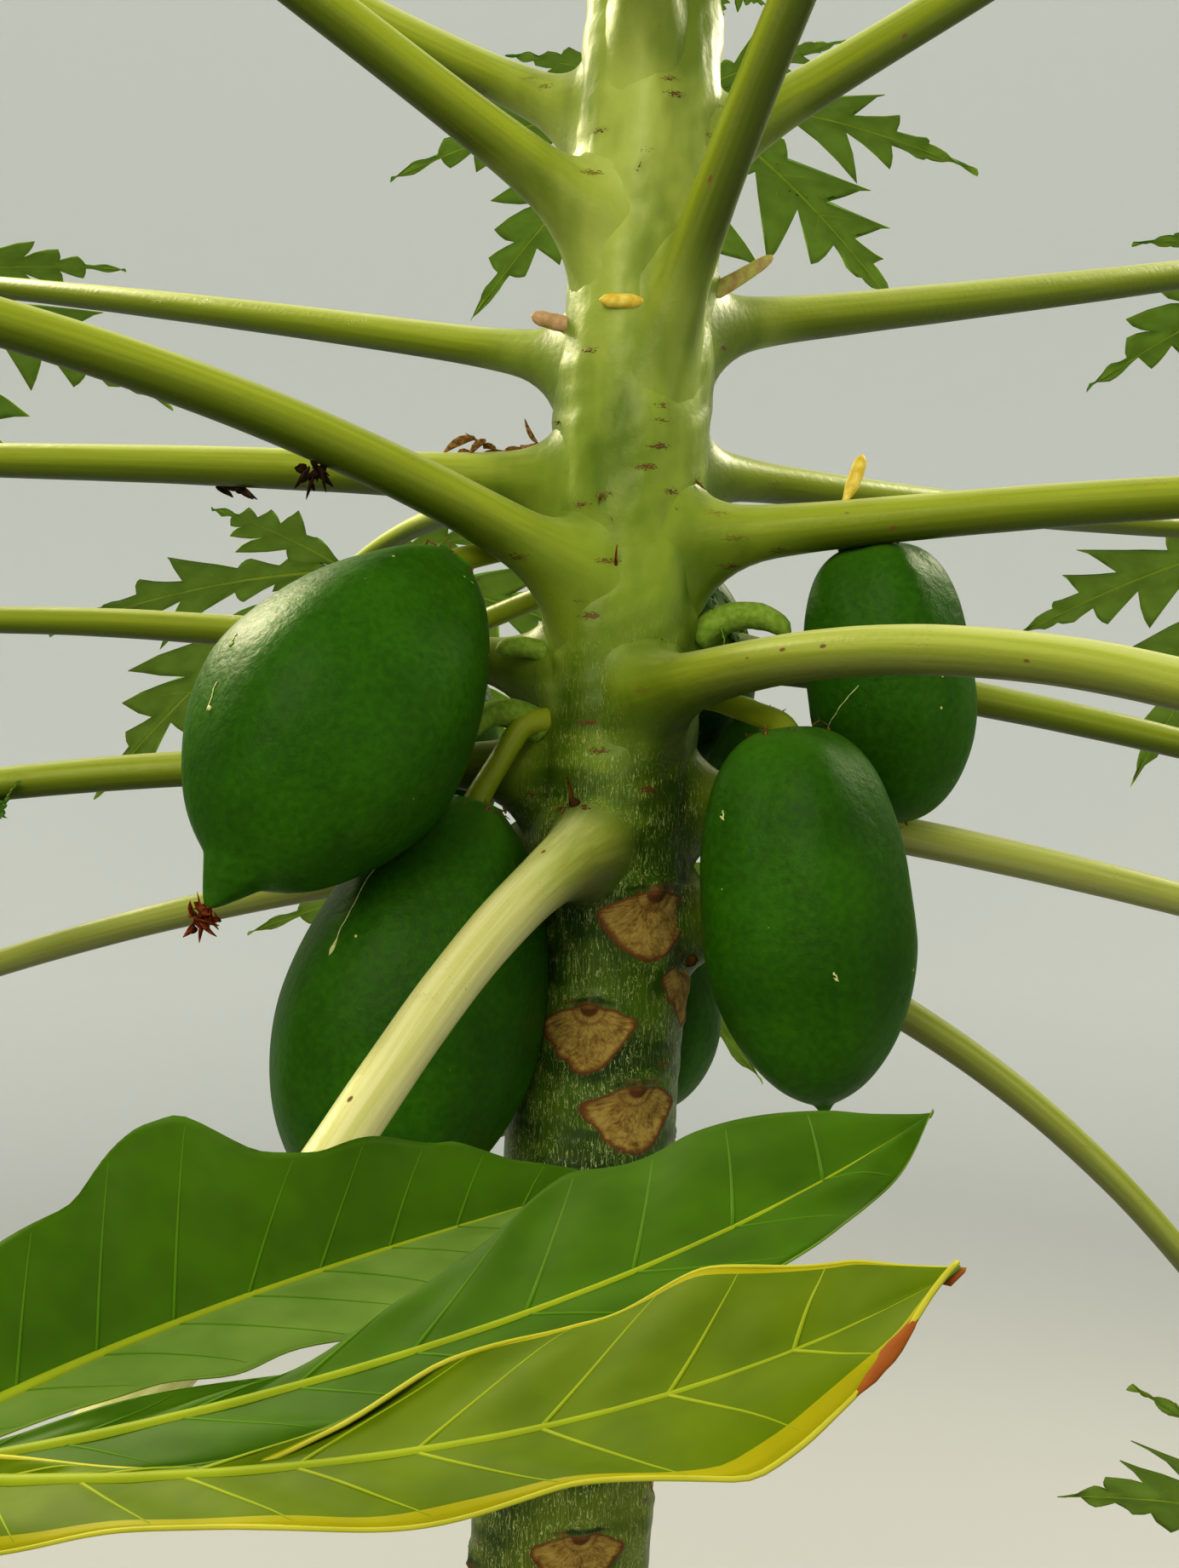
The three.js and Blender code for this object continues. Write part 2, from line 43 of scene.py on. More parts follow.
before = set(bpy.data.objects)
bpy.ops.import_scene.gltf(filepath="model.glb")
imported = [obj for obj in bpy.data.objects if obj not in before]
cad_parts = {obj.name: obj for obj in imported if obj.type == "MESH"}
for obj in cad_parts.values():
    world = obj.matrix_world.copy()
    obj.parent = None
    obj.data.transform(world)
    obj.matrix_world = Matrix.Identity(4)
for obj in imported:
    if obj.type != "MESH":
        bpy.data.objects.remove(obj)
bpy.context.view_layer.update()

MM = 0.001
TAU = 2 * math.pi
UP = np.array([0.0, 0.0, 1.0])
MOST_TRIANGLES = 200_000

# Trunk, by the source's rule
TRUNK_HEIGHT = 2.08
TRUNK_RADIUS = 0.065
TRUNK_TAPER = 0.0128
TRUNK_LEAN = 0.25
TRUNK_BOW = 0.35
TRUNK_BACK = 0.018
FLARE_RADIUS = 0.02
FLARE_HEIGHT = 0.12
RIDGES = 5
RIDGE_RELIEF = 0.07
TIP_START = 1.88
TIP_RADIUS = 0.015
SEAT = 0.0003
# Rows up the trunk: where they are finest and where they are middling, and the three steps
FINE_ROWS = (1.02, 1.56)
MIDDLE_ROWS = (1.0, 1.9)
ROW_STEPS = (0.0021, 0.003, 0.0056)
# Ridges in the bark under the stalks' feet
RIDGE_WIDTH = 0.016
RIDGE_HEIGHT = 0.0048

# Leaf stalks
STALK_SINK = 0.024
STALK_SWELL = 0.009
STALK_SWELL_REACH = 0.03
STALK_TAPER = 0.62
HUB_REACH = 0.023
STUB_REACH = 0.032
STUB_TAPER = 0.8
PROBE_REACH = 0.26
WALK_STEPS = 400
# How far the curve from bark to stalk is pulled towards the corner between them
FILLET_PULL = 0.62

# Blades
LOBE_STEP = 42
LOBE_LENGTHS = (1, 0.93, 0.78, 0.52)
SINUS = 0.27
BLADE_SAG = 0.3
LAMINA = 0.0009
SIDE_VEIN_LEAN = math.radians(48)
# Points and valleys of a lobe's margin: share of the rib and length of the side line
PEAKS = ((0.255, 0.15), (0.42, 0.315), (0.6, 0.2), (0.745, 0.1), (0.86, 0.04))
VALLEYS = ((0.185, 0.085), (0.325, 0.085), (0.515, 0.075), (0.68, 0.055), (0.81, 0.03), (0.93, 0.012))
# Side lines webbed to the next lobe: the last one's place on the rib over the sinus's reach, and the
# length of each over its place
WEB_REACH = 0.611
WEB_SLOPE = 0.79
# The lobe's length at which the veins have their full thickness, and how a half lobe folds and droops
VEIN_LENGTH = 0.33
LOBE_FOLD = 0.16
LOBE_DROOP = 0.9

# Leaf scars: the golden turn and the drop from one to the next, and the ones that the photo shows: turn,
# height, width and height factors
GOLDEN_TURN = 137.5
SCAR_TOP_TURN = -54
SCAR_TOP = 1.374
SCAR_DROP = 0.0125
SCAR_COUNT = 78
SCAR_LOWEST = 0.1
SCAR_PLACES = {0: (-55, 1.3765, 1.46, 1.14), 2: (-170, 1.356, 1.1, 1), 3: (-10, 1.337, 1.2, 1.15),
               5: (-97, 1.314, 1.14, 1.08), 8: (-60, 1.268, 1.34, 1.08), 10: (-121, 1.222, 1.1, 1)}
# The shield's sides, as the way to each and its distance; its bud's height, the length that one power stands
# for, and the wander of its edge
SCAR_SIDES = ((0.37, 0.93, 0.0131), (-0.37, 0.93, 0.0131), (0.8, -0.6, 0.0196), (-0.8, -0.6, 0.0196),
              (0, -1, 0.0245))
SCAR_BUD = 0.0105
SCAR_REACH = 0.016
SCAR_WANDER = 0.0011
SCAR_FAR = 0.05


class Limb(NamedTuple):
    """A curved limb: foot height and side, bearings at start and end, climbs, length and half-thickness.

    A leaf stalk also has its blade's length, and that blade's bearing and nod.
    """

    height: float
    side: float
    start: float
    end: float
    climb: float
    bow: float
    fall: float
    length: float
    half: float
    blade: float = 0
    face: float = 0
    nod: float = 0


def limbs(rows):
    """Limbs from rows of millimetres and degrees."""
    lengths = (0, 7, 8, 9)
    return [Limb(*(v * MM if i in lengths else v for i, v in enumerate(row))) for row in rows]


LEAVES = limbs([
    (1382, 5, 8, 22, -16, -46, -60, 640, 11, 335, 24, 60),
    (1413, 146, 165, 164, -6, -15, -24, 650, 11, 335, 164, 44),
    (1418, -92, -120.4, -99.9, -10.4, -62.4, 28, 649, 15, 320, 0, 0),
    (1445, 12, 2, 2, -8, -15, -22, 660, 12, 345, 2, 44),
    (1457, 174, 181, 184, 4, -6, -16, 640, 12, 345, 182, 44),
    (1470, 102, 98, 92, 8, -8, -24, 640, 12, 345, 90, 40),
    (1494, -76, -54, -40, 14, -13, -40, 690, 14, 355, -36, 46),
    (1514, 172, 165, 158, 10, 3, -4, 700, 11, 355, 158, 36),
    (1531, 22, 18, 20, -6, -11, -16, 700, 12, 345, 20, 40),
    (1558, -117, 207, 209, 30, 5, 5, 700, 15, 365, 209, 36),
    (1587, -48, -8, -2, 6, 2, -2, 720, 14, 365, -2, 36),
    (1605, 104, 108, 112, 14, 4, -6, 700, 12, 355, 112, 34),
    (1624, 182, 164, 160, 6, 4, 2, 720, 14, 355, 160, 30),
    (1636, 35, 40, 44, 0, 2, 4, 720, 12, 355, 44, 36),
    (1670, -77, -46, -40, 64, 56, 48, 640, 14, 355, -40, 12),
    (1695, 165, 146, 140, 14, 13, 12, 720, 12, 355, 140, 24),
    (1715, 18, 34, 38, 12, 13, 14, 720, 14, 355, 38, 24),
    (1742, 88, 86, 84, 34, 29, 24, 660, 12, 345, 84, 16),
    (1759, -112, 194, 200, 35, 32.5, 30, 660, 15, 345, 200, 8),
    (1808, 2, 14, 16, 34, 33, 32, 660, 14, 345, 16, 8),
    (1832, 165, 152, 150, 28, 34, 40, 620, 13, 320, 150, 2),
    (1850, -92, -96, -98, 62, 57, 52, 560, 14, 310, -98, 6),
])
OLD_LEAF = 2

YOUNG_LEAVES = limbs([
    (2092, 40, 40, 36, 48, 52, 56, 420, 9, 220, 36, -6),
    (2100, 176, 176, 180, 54, 57, 60, 400, 9, 200, 180, -10),
    (2108, -50, -50, -46, 60, 63, 66, 360, 8, 180, -46, -16),
    (2120, 100, 100, 96, 66, 69, 72, 330, 7, 160, 96, -24),
    (2132, -120, -120, -124, 74, 77, 80, 240, 6, 120, -124, -40),
])
TUFT_SINK = 0.006

# The old leaf's lobes: their ribs as limbs, then tilt and the fullness of the left and right halves. One has
# yellowed and scorched, one has a painted sheen, a paler grey-green, on half of it
OLD_LOBES = [
    (112, 128, 14, 2, -16, 280, 6, 1, 0.8),
    (58.6, 32.8, 9.5, 3.6, 7.4, 302, 14, 1.05, 0.7),
    (-14.2, 35.6, 12.1, 13.3, 21.9, 327, 16, 1, 0.55),
    (-38.1, 8.9, 13.7, 1.1, 27.7, 311, 18, 1, 0.4),
    (-78, -62, -4, -30, -58, 310, 0, 0.8, 0.8),
    (-122, -128, 2, -28, -60, 290, 0, 0.8, 0.8),
    (-172, 176, 6, -16, -44, 240, 0, 0.8, 0.8),
]
YELLOW_LOBE = 3
PAINTED_SHEEN_LOBE = 1
# Half-widths of a lobe by the share of its length
OLD_LOBE_PROFILE = ((0, 0.05), (0.15, 0.09), (0.32, 0.12), (0.48, 0.18), (0.6, 0.22), (0.72, 0.17),
                    (0.86, 0.1), (1, 0))
# The halves that the photo shows: (lobe, side), the fold at the rib and the half-widths by share
OLD_LOBE_HALVES = {
    (1, 1): (0.9, ((0, 0.03), (0.1, 0.1), (0.34, 0.12), (0.4, 0.15), (0.46, 0.183), (0.51, 0.19),
                   (0.57, 0.122), (0.64, 0.098), (0.82, 0.088), (0.88, 0.047), (1, 0))),
    (2, 1): (0.1, ((0, 0.02), (0.42, 0.03), (0.46, 0.055), (0.52, 0.1), (0.58, 0.116), (0.7, 0.18),
                   (0.82, 0.145), (0.94, 0.07), (1, 0))),
    (3, 1): (0.1, ((0, 0.015), (0.34, 0.02), (0.46, 0.01), (0.52, 0.035), (0.58, 0.09), (0.7, 0.137),
                   (0.82, 0.127), (0.94, 0.073), (1, 0))),
    (3, -1): (0.1, ((0, 0.05), (0.1, 0.085), (0.46, 0.071), (0.7, 0.085), (0.81, 0.115), (0.87, 0.074),
                    (0.94, 0.046), (1, 0))),
}


class Fruit(NamedTuple):
    """A fruit: its ends, half-width, belly, fullness above and below, nipple, and its stalk's foot."""

    neck: tuple
    end: tuple
    half: float
    belly: float
    neck_form: float
    tip_form: float
    nipple: float
    foot: float
    side: float


FRUITS = [Fruit(*row) for row in (
    ((40, -32, 1573), (-74, -140, 1388), 74, 0.5, 1.7, 1.75, 0.1, 1590, 180),
    ((54, -22, 1440), (-16, -46, 1204), 74, 0.54, 1.8, 1.9, 0.04, 1486, 204),
    ((224, -66, 1480), (244, -76, 1272), 57, 0.56, 2.6, 1.75, 0.03, 1500, -30),
    ((280, 2, 1588), (300, 4, 1428), 48, 0.56, 2.9, 1.9, 0, 1602, 10),
    ((222, 92, 1494), (234, 106, 1350), 42, 0.55, 2.2, 1.8, 0.03, 1506, 52),
    ((152, 108, 1378), (158, 112, 1238), 45, 0.55, 2.0, 1.8, 0.03, 1404, 84),
    ((24, 106, 1540), (8, 126, 1384), 44, 0.54, 2.0, 1.8, 0.03, 1566, 138),
    ((174, 126, 1592), (180, 156, 1450), 47, 0.56, 2.1, 1.8, 0.03, 1600, 70),
    ((62, 102, 1362), (50, 122, 1220), 45, 0.56, 2.1, 1.8, 0.03, 1392, 134),
    ((158, 92, 1704), (162, 112, 1628), 27, 0.55, 2.1, 1.7, 0.08, 1716, 68))]
FRUIT_RIBS = 5
FRUIT_RIB_RELIEF = 0.025
NIPPLE_WIDTH = 0.2
NIPPLE_ROUNDING = 24
PEDUNCLE_RADIUS = 0.008
# The fruits in front are finer than the rest
FRONT_FRUITS = 4

# Studio: the floor's level part, the radius of its round, the wall's height, where the lamps aim, and the
# camera's place and lens
FLOOR_FLAT = 6.0
FLOOR_BEND = 4.0
WALL_HEIGHT = 9.0
LAMP_AIM = np.array([0.12, 0.0, 1.5])
CAMERA_PLACE = (0.118, -1.1, 1.45)
CAMERA_LENS = 43.9


# Vectors and curves


def unit(v):
    """Each vector along the last axis over its own length."""
    return v / np.maximum(np.linalg.norm(v, axis=-1, keepdims=True), 1e-12)


def smooth(x, low, high):
    """0 below low and 1 above high, with 3t^2 - 2t^3 between."""
    t = np.clip((x - low) / (high - low), 0, 1)
    return t * t * (3 - 2 * t)


def bell(x, width):
    """1 in the middle, falling off with the exponential of the square."""
    return np.exp(-((x / width) ** 2))


def nearest(turn):
    """An angle in radians, brought within half a turn either way."""
    return (turn + math.pi) % TAU - math.pi


def bearing(turn, climb):
    """The direction with a bearing from +X towards +Y and a climb above the level."""
    a, b = np.radians(turn), np.radians(climb)
    return np.stack(np.broadcast_arrays(np.cos(b) * np.cos(a), np.cos(b) * np.sin(a), np.sin(b)), -1)


def sides_of(ahead):
    """The level direction across a heading, and the one that stands up from both."""
    across = unit(np.stack([-ahead[..., 1], ahead[..., 0], np.zeros(ahead.shape[:-1])], -1))
    return across, np.cross(ahead, across)


def heading(limb, part):
    """The bearing turns evenly the shorter way; the climb is a quadratic curve whose control is the bow."""
    turn = limb.start + ((limb.end - limb.start + 180) % 360 - 180) * part
    rest = 1 - part
    return bearing(turn, rest * rest * limb.climb + 2 * rest * part * limb.bow + part * part * limb.fall)


def walk(limb, foot, reach):
    """Places and headings at reaches along a limb: the sum of short steps, straight on past the end."""
    reach = np.asarray(reach, float)
    steps = heading(limb, (np.arange(WALK_STEPS) + 0.5) / WALK_STEPS) * (limb.length / WALK_STEPS)
    path = np.vstack([np.zeros(3), np.cumsum(steps, 0)])
    posts = np.linspace(0, limb.length, WALK_STEPS + 1)
    place = np.stack([np.interp(reach, posts, path[:, k]) for k in range(3)], -1)
    ahead = heading(limb, np.clip(reach / limb.length, 0, 1))
    over = reach - np.clip(reach, 0, limb.length)
    return foot + place + over[..., None] * ahead, ahead


def ripple(seed, *at):
    """A smooth wander of about 1 either way: five sines with seeded directions and phases."""
    rng = np.random.default_rng(seed)
    total = 0
    for k in range(5):
        wave = rng.normal(size=len(at)) * (1 + 0.6 * k)
        total = total + np.sin(sum(w * a for w, a in zip(wave, at)) + rng.uniform(0, TAU)) / (1 + 0.5 * k)
    return total / 2.2


def trunk_axis(z):
    """The trunk's middle at a height: it leans towards +X, bows back upright and steps back a little."""
    z = np.asarray(z, float)
    part = z / TRUNK_HEIGHT
    return np.stack([TRUNK_LEAN * part * (1 - TRUNK_BOW * part), TRUNK_BACK * part, z], -1)


def trunk_radius(z):
    """An even taper that closes to the tip, with an exponential flare at the foot."""
    z = np.asarray(z, float)
    tip = smooth(z, TIP_START, TRUNK_HEIGHT)
    stem = TRUNK_RADIUS - TRUNK_TAPER * z
    return stem + (TIP_RADIUS - stem) * tip + FLARE_RADIUS * np.exp(-np.maximum(z, 0) / FLARE_HEIGHT)


def trunk_girth(turn, z):
    """The radius with the five root ridges, turn in radians."""
    ridges = np.cos(RIDGES * turn) * np.exp(-np.maximum(z, 0) / FLARE_HEIGHT)
    return trunk_radius(z) * (1 + RIDGE_RELIEF * ridges)


def trunk_place(turn, z, out):
    """A place some way out from the trunk's skin, turn in radians."""
    level = np.stack(np.broadcast_arrays(np.cos(turn), np.sin(turn), 0.0 * turn), -1)
    return trunk_axis(z + 0 * turn) + level * (trunk_girth(turn, z) + out)[..., None]


def trunk_clearance(place):
    """How far a place lies outside the trunk, level with it."""
    off = place - trunk_axis(place[..., 2])
    turn = np.arctan2(off[..., 1], off[..., 0])
    return np.hypot(off[..., 0], off[..., 1]) - trunk_girth(turn, place[..., 2])


def foot_of(leaf):
    """Where a leaf stalk's middle line starts, sunk in the trunk."""
    return trunk_place(np.radians(leaf.side), np.asarray(leaf.height), -STALK_SINK)


# Meshes


class Shell(NamedTuple):
    """Closed shells of one shape: points, quads, triangles, each face's finish, and the points' traits."""

    points: np.ndarray
    quads: np.ndarray
    threes: np.ndarray
    quad_finish: np.ndarray
    three_finish: np.ndarray
    traits: dict


def ring_quads(rows, cols):
    """Quads that join each ring of points to the next, once round."""
    r, c = np.meshgrid(np.arange(rows - 1), np.arange(cols), indexing="ij")
    n = (c + 1) % cols
    return np.stack([r * cols + c, r * cols + n, (r + 1) * cols + n, (r + 1) * cols + c], -1).reshape(-1, 4)


def closed(rings, start, end, finish=0, **traits):
    """Shells from rows of rings (count, rows, columns, 3) with a pole at both ends (count, 3).

    Neighbouring rings are joined by quads and each end ring to its pole by triangles. Where the first shell
    encloses a negative volume all faces are turned round, so that they point outwards. finish is a number or
    one for each column of faces.
    """
    rings = np.asarray(rings, float)
    if rings.ndim == 3:
        rings = rings[None]
        start, end = np.asarray(start)[None], np.asarray(end)[None]
        traits = {key: np.asarray(value, float)[None] for key, value in traits.items()}
    count, rows, cols, _ = rings.shape
    quads = ring_quads(rows, cols)
    c = np.arange(cols)
    n = (c + 1) % cols
    low, high = rows * cols, rows * cols + 1
    last = (rows - 1) * cols
    first_fan = np.stack([np.full(cols, low), n, c], -1)
    last_fan = np.stack([last + c, last + n, np.full(cols, high)], -1)
    threes = np.vstack([first_fan, last_fan])
    poles = [np.reshape(pole, (count, 1, 3)) for pole in (start, end)]
    points = np.concatenate([rings.reshape(count, -1, 3), *poles], 1)
    p = points[0] - points[0].mean(0)
    corners = np.vstack([quads[:, :3], quads[:, [0, 2, 3]], threes])
    volume = np.einsum("ij,ij->", p[corners[:, 0]], np.cross(p[corners[:, 1]], p[corners[:, 2]]))
    if volume < 0:
        quads, threes = quads[:, ::-1], threes[:, ::-1]
    face = np.broadcast_to(np.asarray(finish), (cols,))
    quad_finish, three_finish = np.tile(face, (rows - 1) * count), np.tile(face, 2 * count)
    shift = (np.arange(count) * points.shape[1])[:, None, None]
    kept = {}
    for key, value in traits.items():
        value = np.asarray(value, float)
        flat = np.broadcast_to(value, (count, rows, cols) + value.shape[3:])
        flat = flat.reshape(count, rows * cols, -1)
        ends = np.stack([flat[:, :cols].mean(1), flat[:, -cols:].mean(1)], 1)
        kept[key] = np.concatenate([flat, ends], 1).reshape(count * points.shape[1], -1)
    return Shell(points.reshape(-1, 3), (quads[None] + shift).reshape(-1, 4),
                 (threes[None] + shift).reshape(-1, 3), quad_finish, three_finish, kept)


def tubes(paths, radii, sides, over, finish=0, flat=1.0, **traits):
    """Round tubes along paths (count, rows, 3): each ring stands square to its path, turned to face over."""
    paths = np.asarray(paths, float)
    if paths.ndim == 2:
        paths = paths[None]
    ahead = unit(np.gradient(paths, axis=1))
    across = unit(np.cross(np.broadcast_to(over, paths.shape), ahead))
    up = np.cross(ahead, across)
    turn = np.arange(sides) * TAU / sides
    radii = np.broadcast_to(radii, paths.shape[:2])[..., None, None]
    rings = paths[:, :, None] + radii * (np.cos(turn)[:, None] * across[:, :, None]
                                         + flat * np.sin(turn)[:, None] * up[:, :, None])
    start = paths[:, 0] - ahead[:, 0] * radii[:, 0, 0] * 0.5
    end = paths[:, -1] + ahead[:, -1] * radii[:, -1, 0] * 0.7
    return closed(rings, start, end, finish, **traits)


def piece(name, shells, materials, nodes=()):
    """One mesh object at the origin from joined shells, riding on the root and standing for its CAD nodes."""
    points = np.concatenate([s.points for s in shells])
    starts = np.cumsum([0] + [len(s.points) for s in shells[:-1]])
    quads = np.concatenate([s.quads + k for s, k in zip(shells, starts)])
    threes = np.concatenate([s.threes + k for s, k in zip(shells, starts)])
    finish = np.concatenate([s.quad_finish for s in shells] + [s.three_finish for s in shells])
    mesh = bpy.data.meshes.new(name)
    mesh.vertices.add(len(points))
    mesh.vertices.foreach_set("co", points.astype(np.float32).ravel())
    mesh.loops.add(quads.size + threes.size)
    corners = np.concatenate([quads.ravel(), threes.ravel()])
    mesh.loops.foreach_set("vertex_index", corners.astype(np.int32))
    totals = np.concatenate([np.full(len(quads), 4), np.full(len(threes), 3)])
    mesh.polygons.add(len(totals))
    mesh.polygons.foreach_set("loop_start", (np.cumsum(totals) - totals).astype(np.int32))
    mesh.polygons.foreach_set("material_index", finish.astype(np.int32))
    mesh.polygons.foreach_set("use_smooth", np.ones(len(totals), bool))
    for key in sorted({k for s in shells for k in s.traits}):
        wide = max(s.traits[key].shape[1] for s in shells if key in s.traits)
        values = np.concatenate([s.traits.get(key, np.zeros((len(s.points), wide))) for s in shells])
        kind, field = ("FLOAT_VECTOR", "vector") if wide == 3 else ("FLOAT", "value")
        mesh.attributes.new(key, kind, "POINT").data.foreach_set(field, values.astype(np.float32).ravel())
    mesh.update(calc_edges=True)
    if mesh.validate():
        raise RuntimeError(f"{name}: the mesh has faulty faces")
    triangles = 2 * len(quads) + len(threes)
    if triangles >= MOST_TRIANGLES:
        raise RuntimeError(f"{name} has {triangles} triangles")
    print(f"{name}: {triangles} triangles")
    for material in materials:
        mesh.materials.append(material)
    obj = bpy.data.objects.new(name, mesh)
    bpy.context.scene.collection.objects.link(obj)
    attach(obj, "root")
    if nodes:
        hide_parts(*nodes)


# Materials


def linear(code):
    """A hex sRGB colour as linear red, green, blue and alpha."""
    values = [int(code[i:i + 2], 16) / 255 for i in (0, 2, 4)]
    return [v / 12.92 if v <= 0.04045 else ((v + 0.055) / 1.055) ** 2.4 for v in values] + [1.0]


def rgba(colour):
    """A colour property with full alpha."""
    return [*colour[:3], 1.0]


def fill(node, values):
    """Fills inputs by name or in order: an output is linked, a hex colour turned linear, the rest is set."""
    for key, value in values.items() if isinstance(values, dict) else enumerate(values):
        if isinstance(value, bpy.types.NodeSocket):
            node.id_data.links.new(value, node.inputs[key])
        else:
            node.inputs[key].default_value = linear(value) if isinstance(value, str) else value


def add(tree, kind, values=(), out=0, stops=(), **settings):
    """Adds one node with its settings, inputs and ramp stops, and gives the output asked for, or them all."""
    node = tree.nodes.new("ShaderNode" + kind)
    for key, value in settings.items():
        setattr(node, key, value)
    fill(node, values)
    if stops:
        ramp = node.color_ramp.elements
        while len(ramp) < len(stops):
            ramp.new(0.5)
        for stop, (at, colour) in zip(ramp, stops):
            stop.position = at
            stop.color = linear(colour) if isinstance(colour, str) else colour
    return node.outputs if out is None else node.outputs[out]


def new_material(name):
    """An empty node material, its tree and its Principled shader."""
    material = bpy.data.materials.new(name)
    material.use_nodes = True
    tree = material.node_tree
    return material, tree, tree.nodes["Principled BSDF"]


def stem_skin(look):
    """Living papaya bark and stalk skin, smooth, waxy and green, made once and shared.

    Chlorophyll under a thin cork shows as green that pales towards the crown, with a whitish bloom; the older
    bark splits into fine pale upright streaks and carries corky tan leaf scars with brown rims. Stalks are
    yellow-green, with painted shade that makes them dark olive beneath and a painted highlight that pales
    their tops, with fine lines along them and brown nicks.
    """
    name = "green_stem_skin_waxy"
    if name in bpy.data.materials:
        return bpy.data.materials[name]
    material, tree, shader = new_material(name)
    at = add(tree, "TexCoord", out="Object")
    height = add(tree, "SeparateXYZ", [at], out="Z")
    grain, scar_at = (add(tree, "Attribute", out="Vector", attribute_name=key)
                      for key in ("grain", "scar_at"))
    stalk, upward, pale, scar = (add(tree, "Attribute", out="Fac", attribute_name=key)
                                 for key in ("stalkness", "upward", "paleness", "scar"))

    # The way round and out from the bud at a scar's top, so that the scar's fibres fan out from it
    across, above, depth = add(tree, "SeparateXYZ", [scar_at], out=None)
    flat = add(tree, "CombineXYZ", [across, above])
    reach = add(tree, "VectorMath", [flat], out="Value", operation="LENGTH")
    down = add(tree, "Math", [above, -1.0], operation="MULTIPLY")
    fan = add(tree, "Math", [across, down], operation="ARCTAN2")
    fan = add(tree, "Math", [fan, 0.03], operation="MULTIPLY")
    slow = add(tree, "Math", [reach, 0.22], operation="MULTIPLY")
    polar = add(tree, "CombineXYZ", [fan, slow, depth])
    broad = add(tree, "Math", [across], operation="ABSOLUTE")

    # Noises: where they are read, how far they are squeezed in height, scale, detail and distortion
    noise = {}
    for key, where, squeeze, scale, detail, bend in (
            # Soft clouds about 40 mm across, drawn out upwards
            ("cloud", at, 0.45, 26.0, 3.0, 0.0),
            # Upright cracks a third of a millimetre wide, 1.5 mm apart and 10 mm long, and their bands
            ("streak", at, 0.13, 700.0, 2.0, 0.5),
            ("band", at, 2.4, 34.0, 3.0, 0.0),
            # Level folds about 25 mm high
            ("fold", at, 2.4, 17.0, 2.0, 0.0),
            # Torn edges of lenticels and scars, 2 mm wide
            ("torn", at, 3.2, 500.0, 3.0, 0.0),
            # A scar's fibres, 4 degrees apart, and the patches of its crust, 8 mm wide
            ("fibre", polar, 1.0, 480.0, 4.0, 0.5),
            ("patchy", at, 1.0, 120.0, 3.0, 0.0),
            # The wax's fine unevenness, 4 mm wide
            ("fine", at, 1.0, 240.0, 3.0, 0.0),
            # Faint lines along a stalk, about 3 mm apart
            ("lines", grain, 0.02, 330.0, 2.0, 0.0),
            # Rusty speckles by the trunk, 1.5 mm wide, and where they gather
            ("rust", grain, 1.0, 650.0, 3.0, 0.0),
            ("dusty", grain, 1.0, 22.0, 2.0, 0.0)):
        squeezed = add(tree, "Mapping", {"Vector": where, "Scale": (1.0, 1.0, squeeze)})
        noise[key] = add(tree, "TexNoise",
                         {"Vector": squeezed, "Scale": scale, "Detail": detail, "Distortion": bend})
    streak = add(tree, "Math", [noise["streak"], 0.53], operation="SUBTRACT")
    streak = add(tree, "Math", [streak], operation="ABSOLUTE")
    ragged = add(tree, "Math", [noise["torn"], 0.1, -0.05], operation="MULTIPLY_ADD")
    ragged = add(tree, "Math", [scar, ragged], operation="ADD")
    fibre = add(tree, "Mix", {0: 0.5, 2: noise["fibre"], 3: noise["patchy"]}, data_type="FLOAT")

    # Corky level lenticels about 9 mm wide and 3 mm high, in half of the cells
    low = add(tree, "Mapping", {"Vector": at, "Scale": (1.0, 1.0, 3.2)})
    cell = add(tree, "TexVoronoi", {"Vector": low, "Scale": 27.0}, out=None)
    spot = add(tree, "Math", [noise["torn"], 0.7, cell["Distance"]], operation="MULTIPLY_ADD")
    some = add(tree, "SeparateColor", [cell["Color"]])
    some = add(tree, "Math", [some, 0.5], operation="LESS_THAN")
    # Brown nicks about 2 mm wide and 4 mm long on the stalks, in a tenth of the cells
    long = add(tree, "Mapping", {"Vector": grain, "Scale": (1.0, 1.0, 0.5)})
    nick = add(tree, "TexVoronoi", {"Vector": long, "Scale": 80.0}, out=None)
    few = add(tree, "SeparateColor", [nick["Color"]])
    few = add(tree, "Math", [few, 0.09], operation="LESS_THAN")

    # Fades from 0 at the first value to 1 at the second; the scar attribute is 0.3 at a scar's edge
    fade = {key: add(tree, "MapRange", [value, start, end]) for key, value, start, end in (
        ("share", height, 0.0, TRUNK_HEIGHT), ("old", height, 1.56, 1.42), ("bare", stalk, 0.3, 0.0),
        ("cloud", noise["cloud"], 0.62, 0.38), ("streak", streak, 0.022, 0.004),
        ("band", noise["band"], 0.3, 0.54), ("fold", noise["fold"], 0.56, 0.42), ("spot", spot, 0.5, 0.44),
        ("reach", reach, 0.0, 0.02), ("beneath", above, 0.004, -0.001), ("above", above, 0.0, 0.003),
        ("broad", broad, 0.017, 0.012), ("crust", ragged, 0.03, 0.09), ("edge", scar, 0.3, 0.32),
        ("side", upward, -1.0, 1.0), ("lines", noise["lines"], 0.62, 0.4), ("rust", noise["rust"], 0.6, 0.72),
        ("dusty", noise["dusty"], 0.5, 0.66), ("nick", nick["Distance"], 0.11, 0.07))}
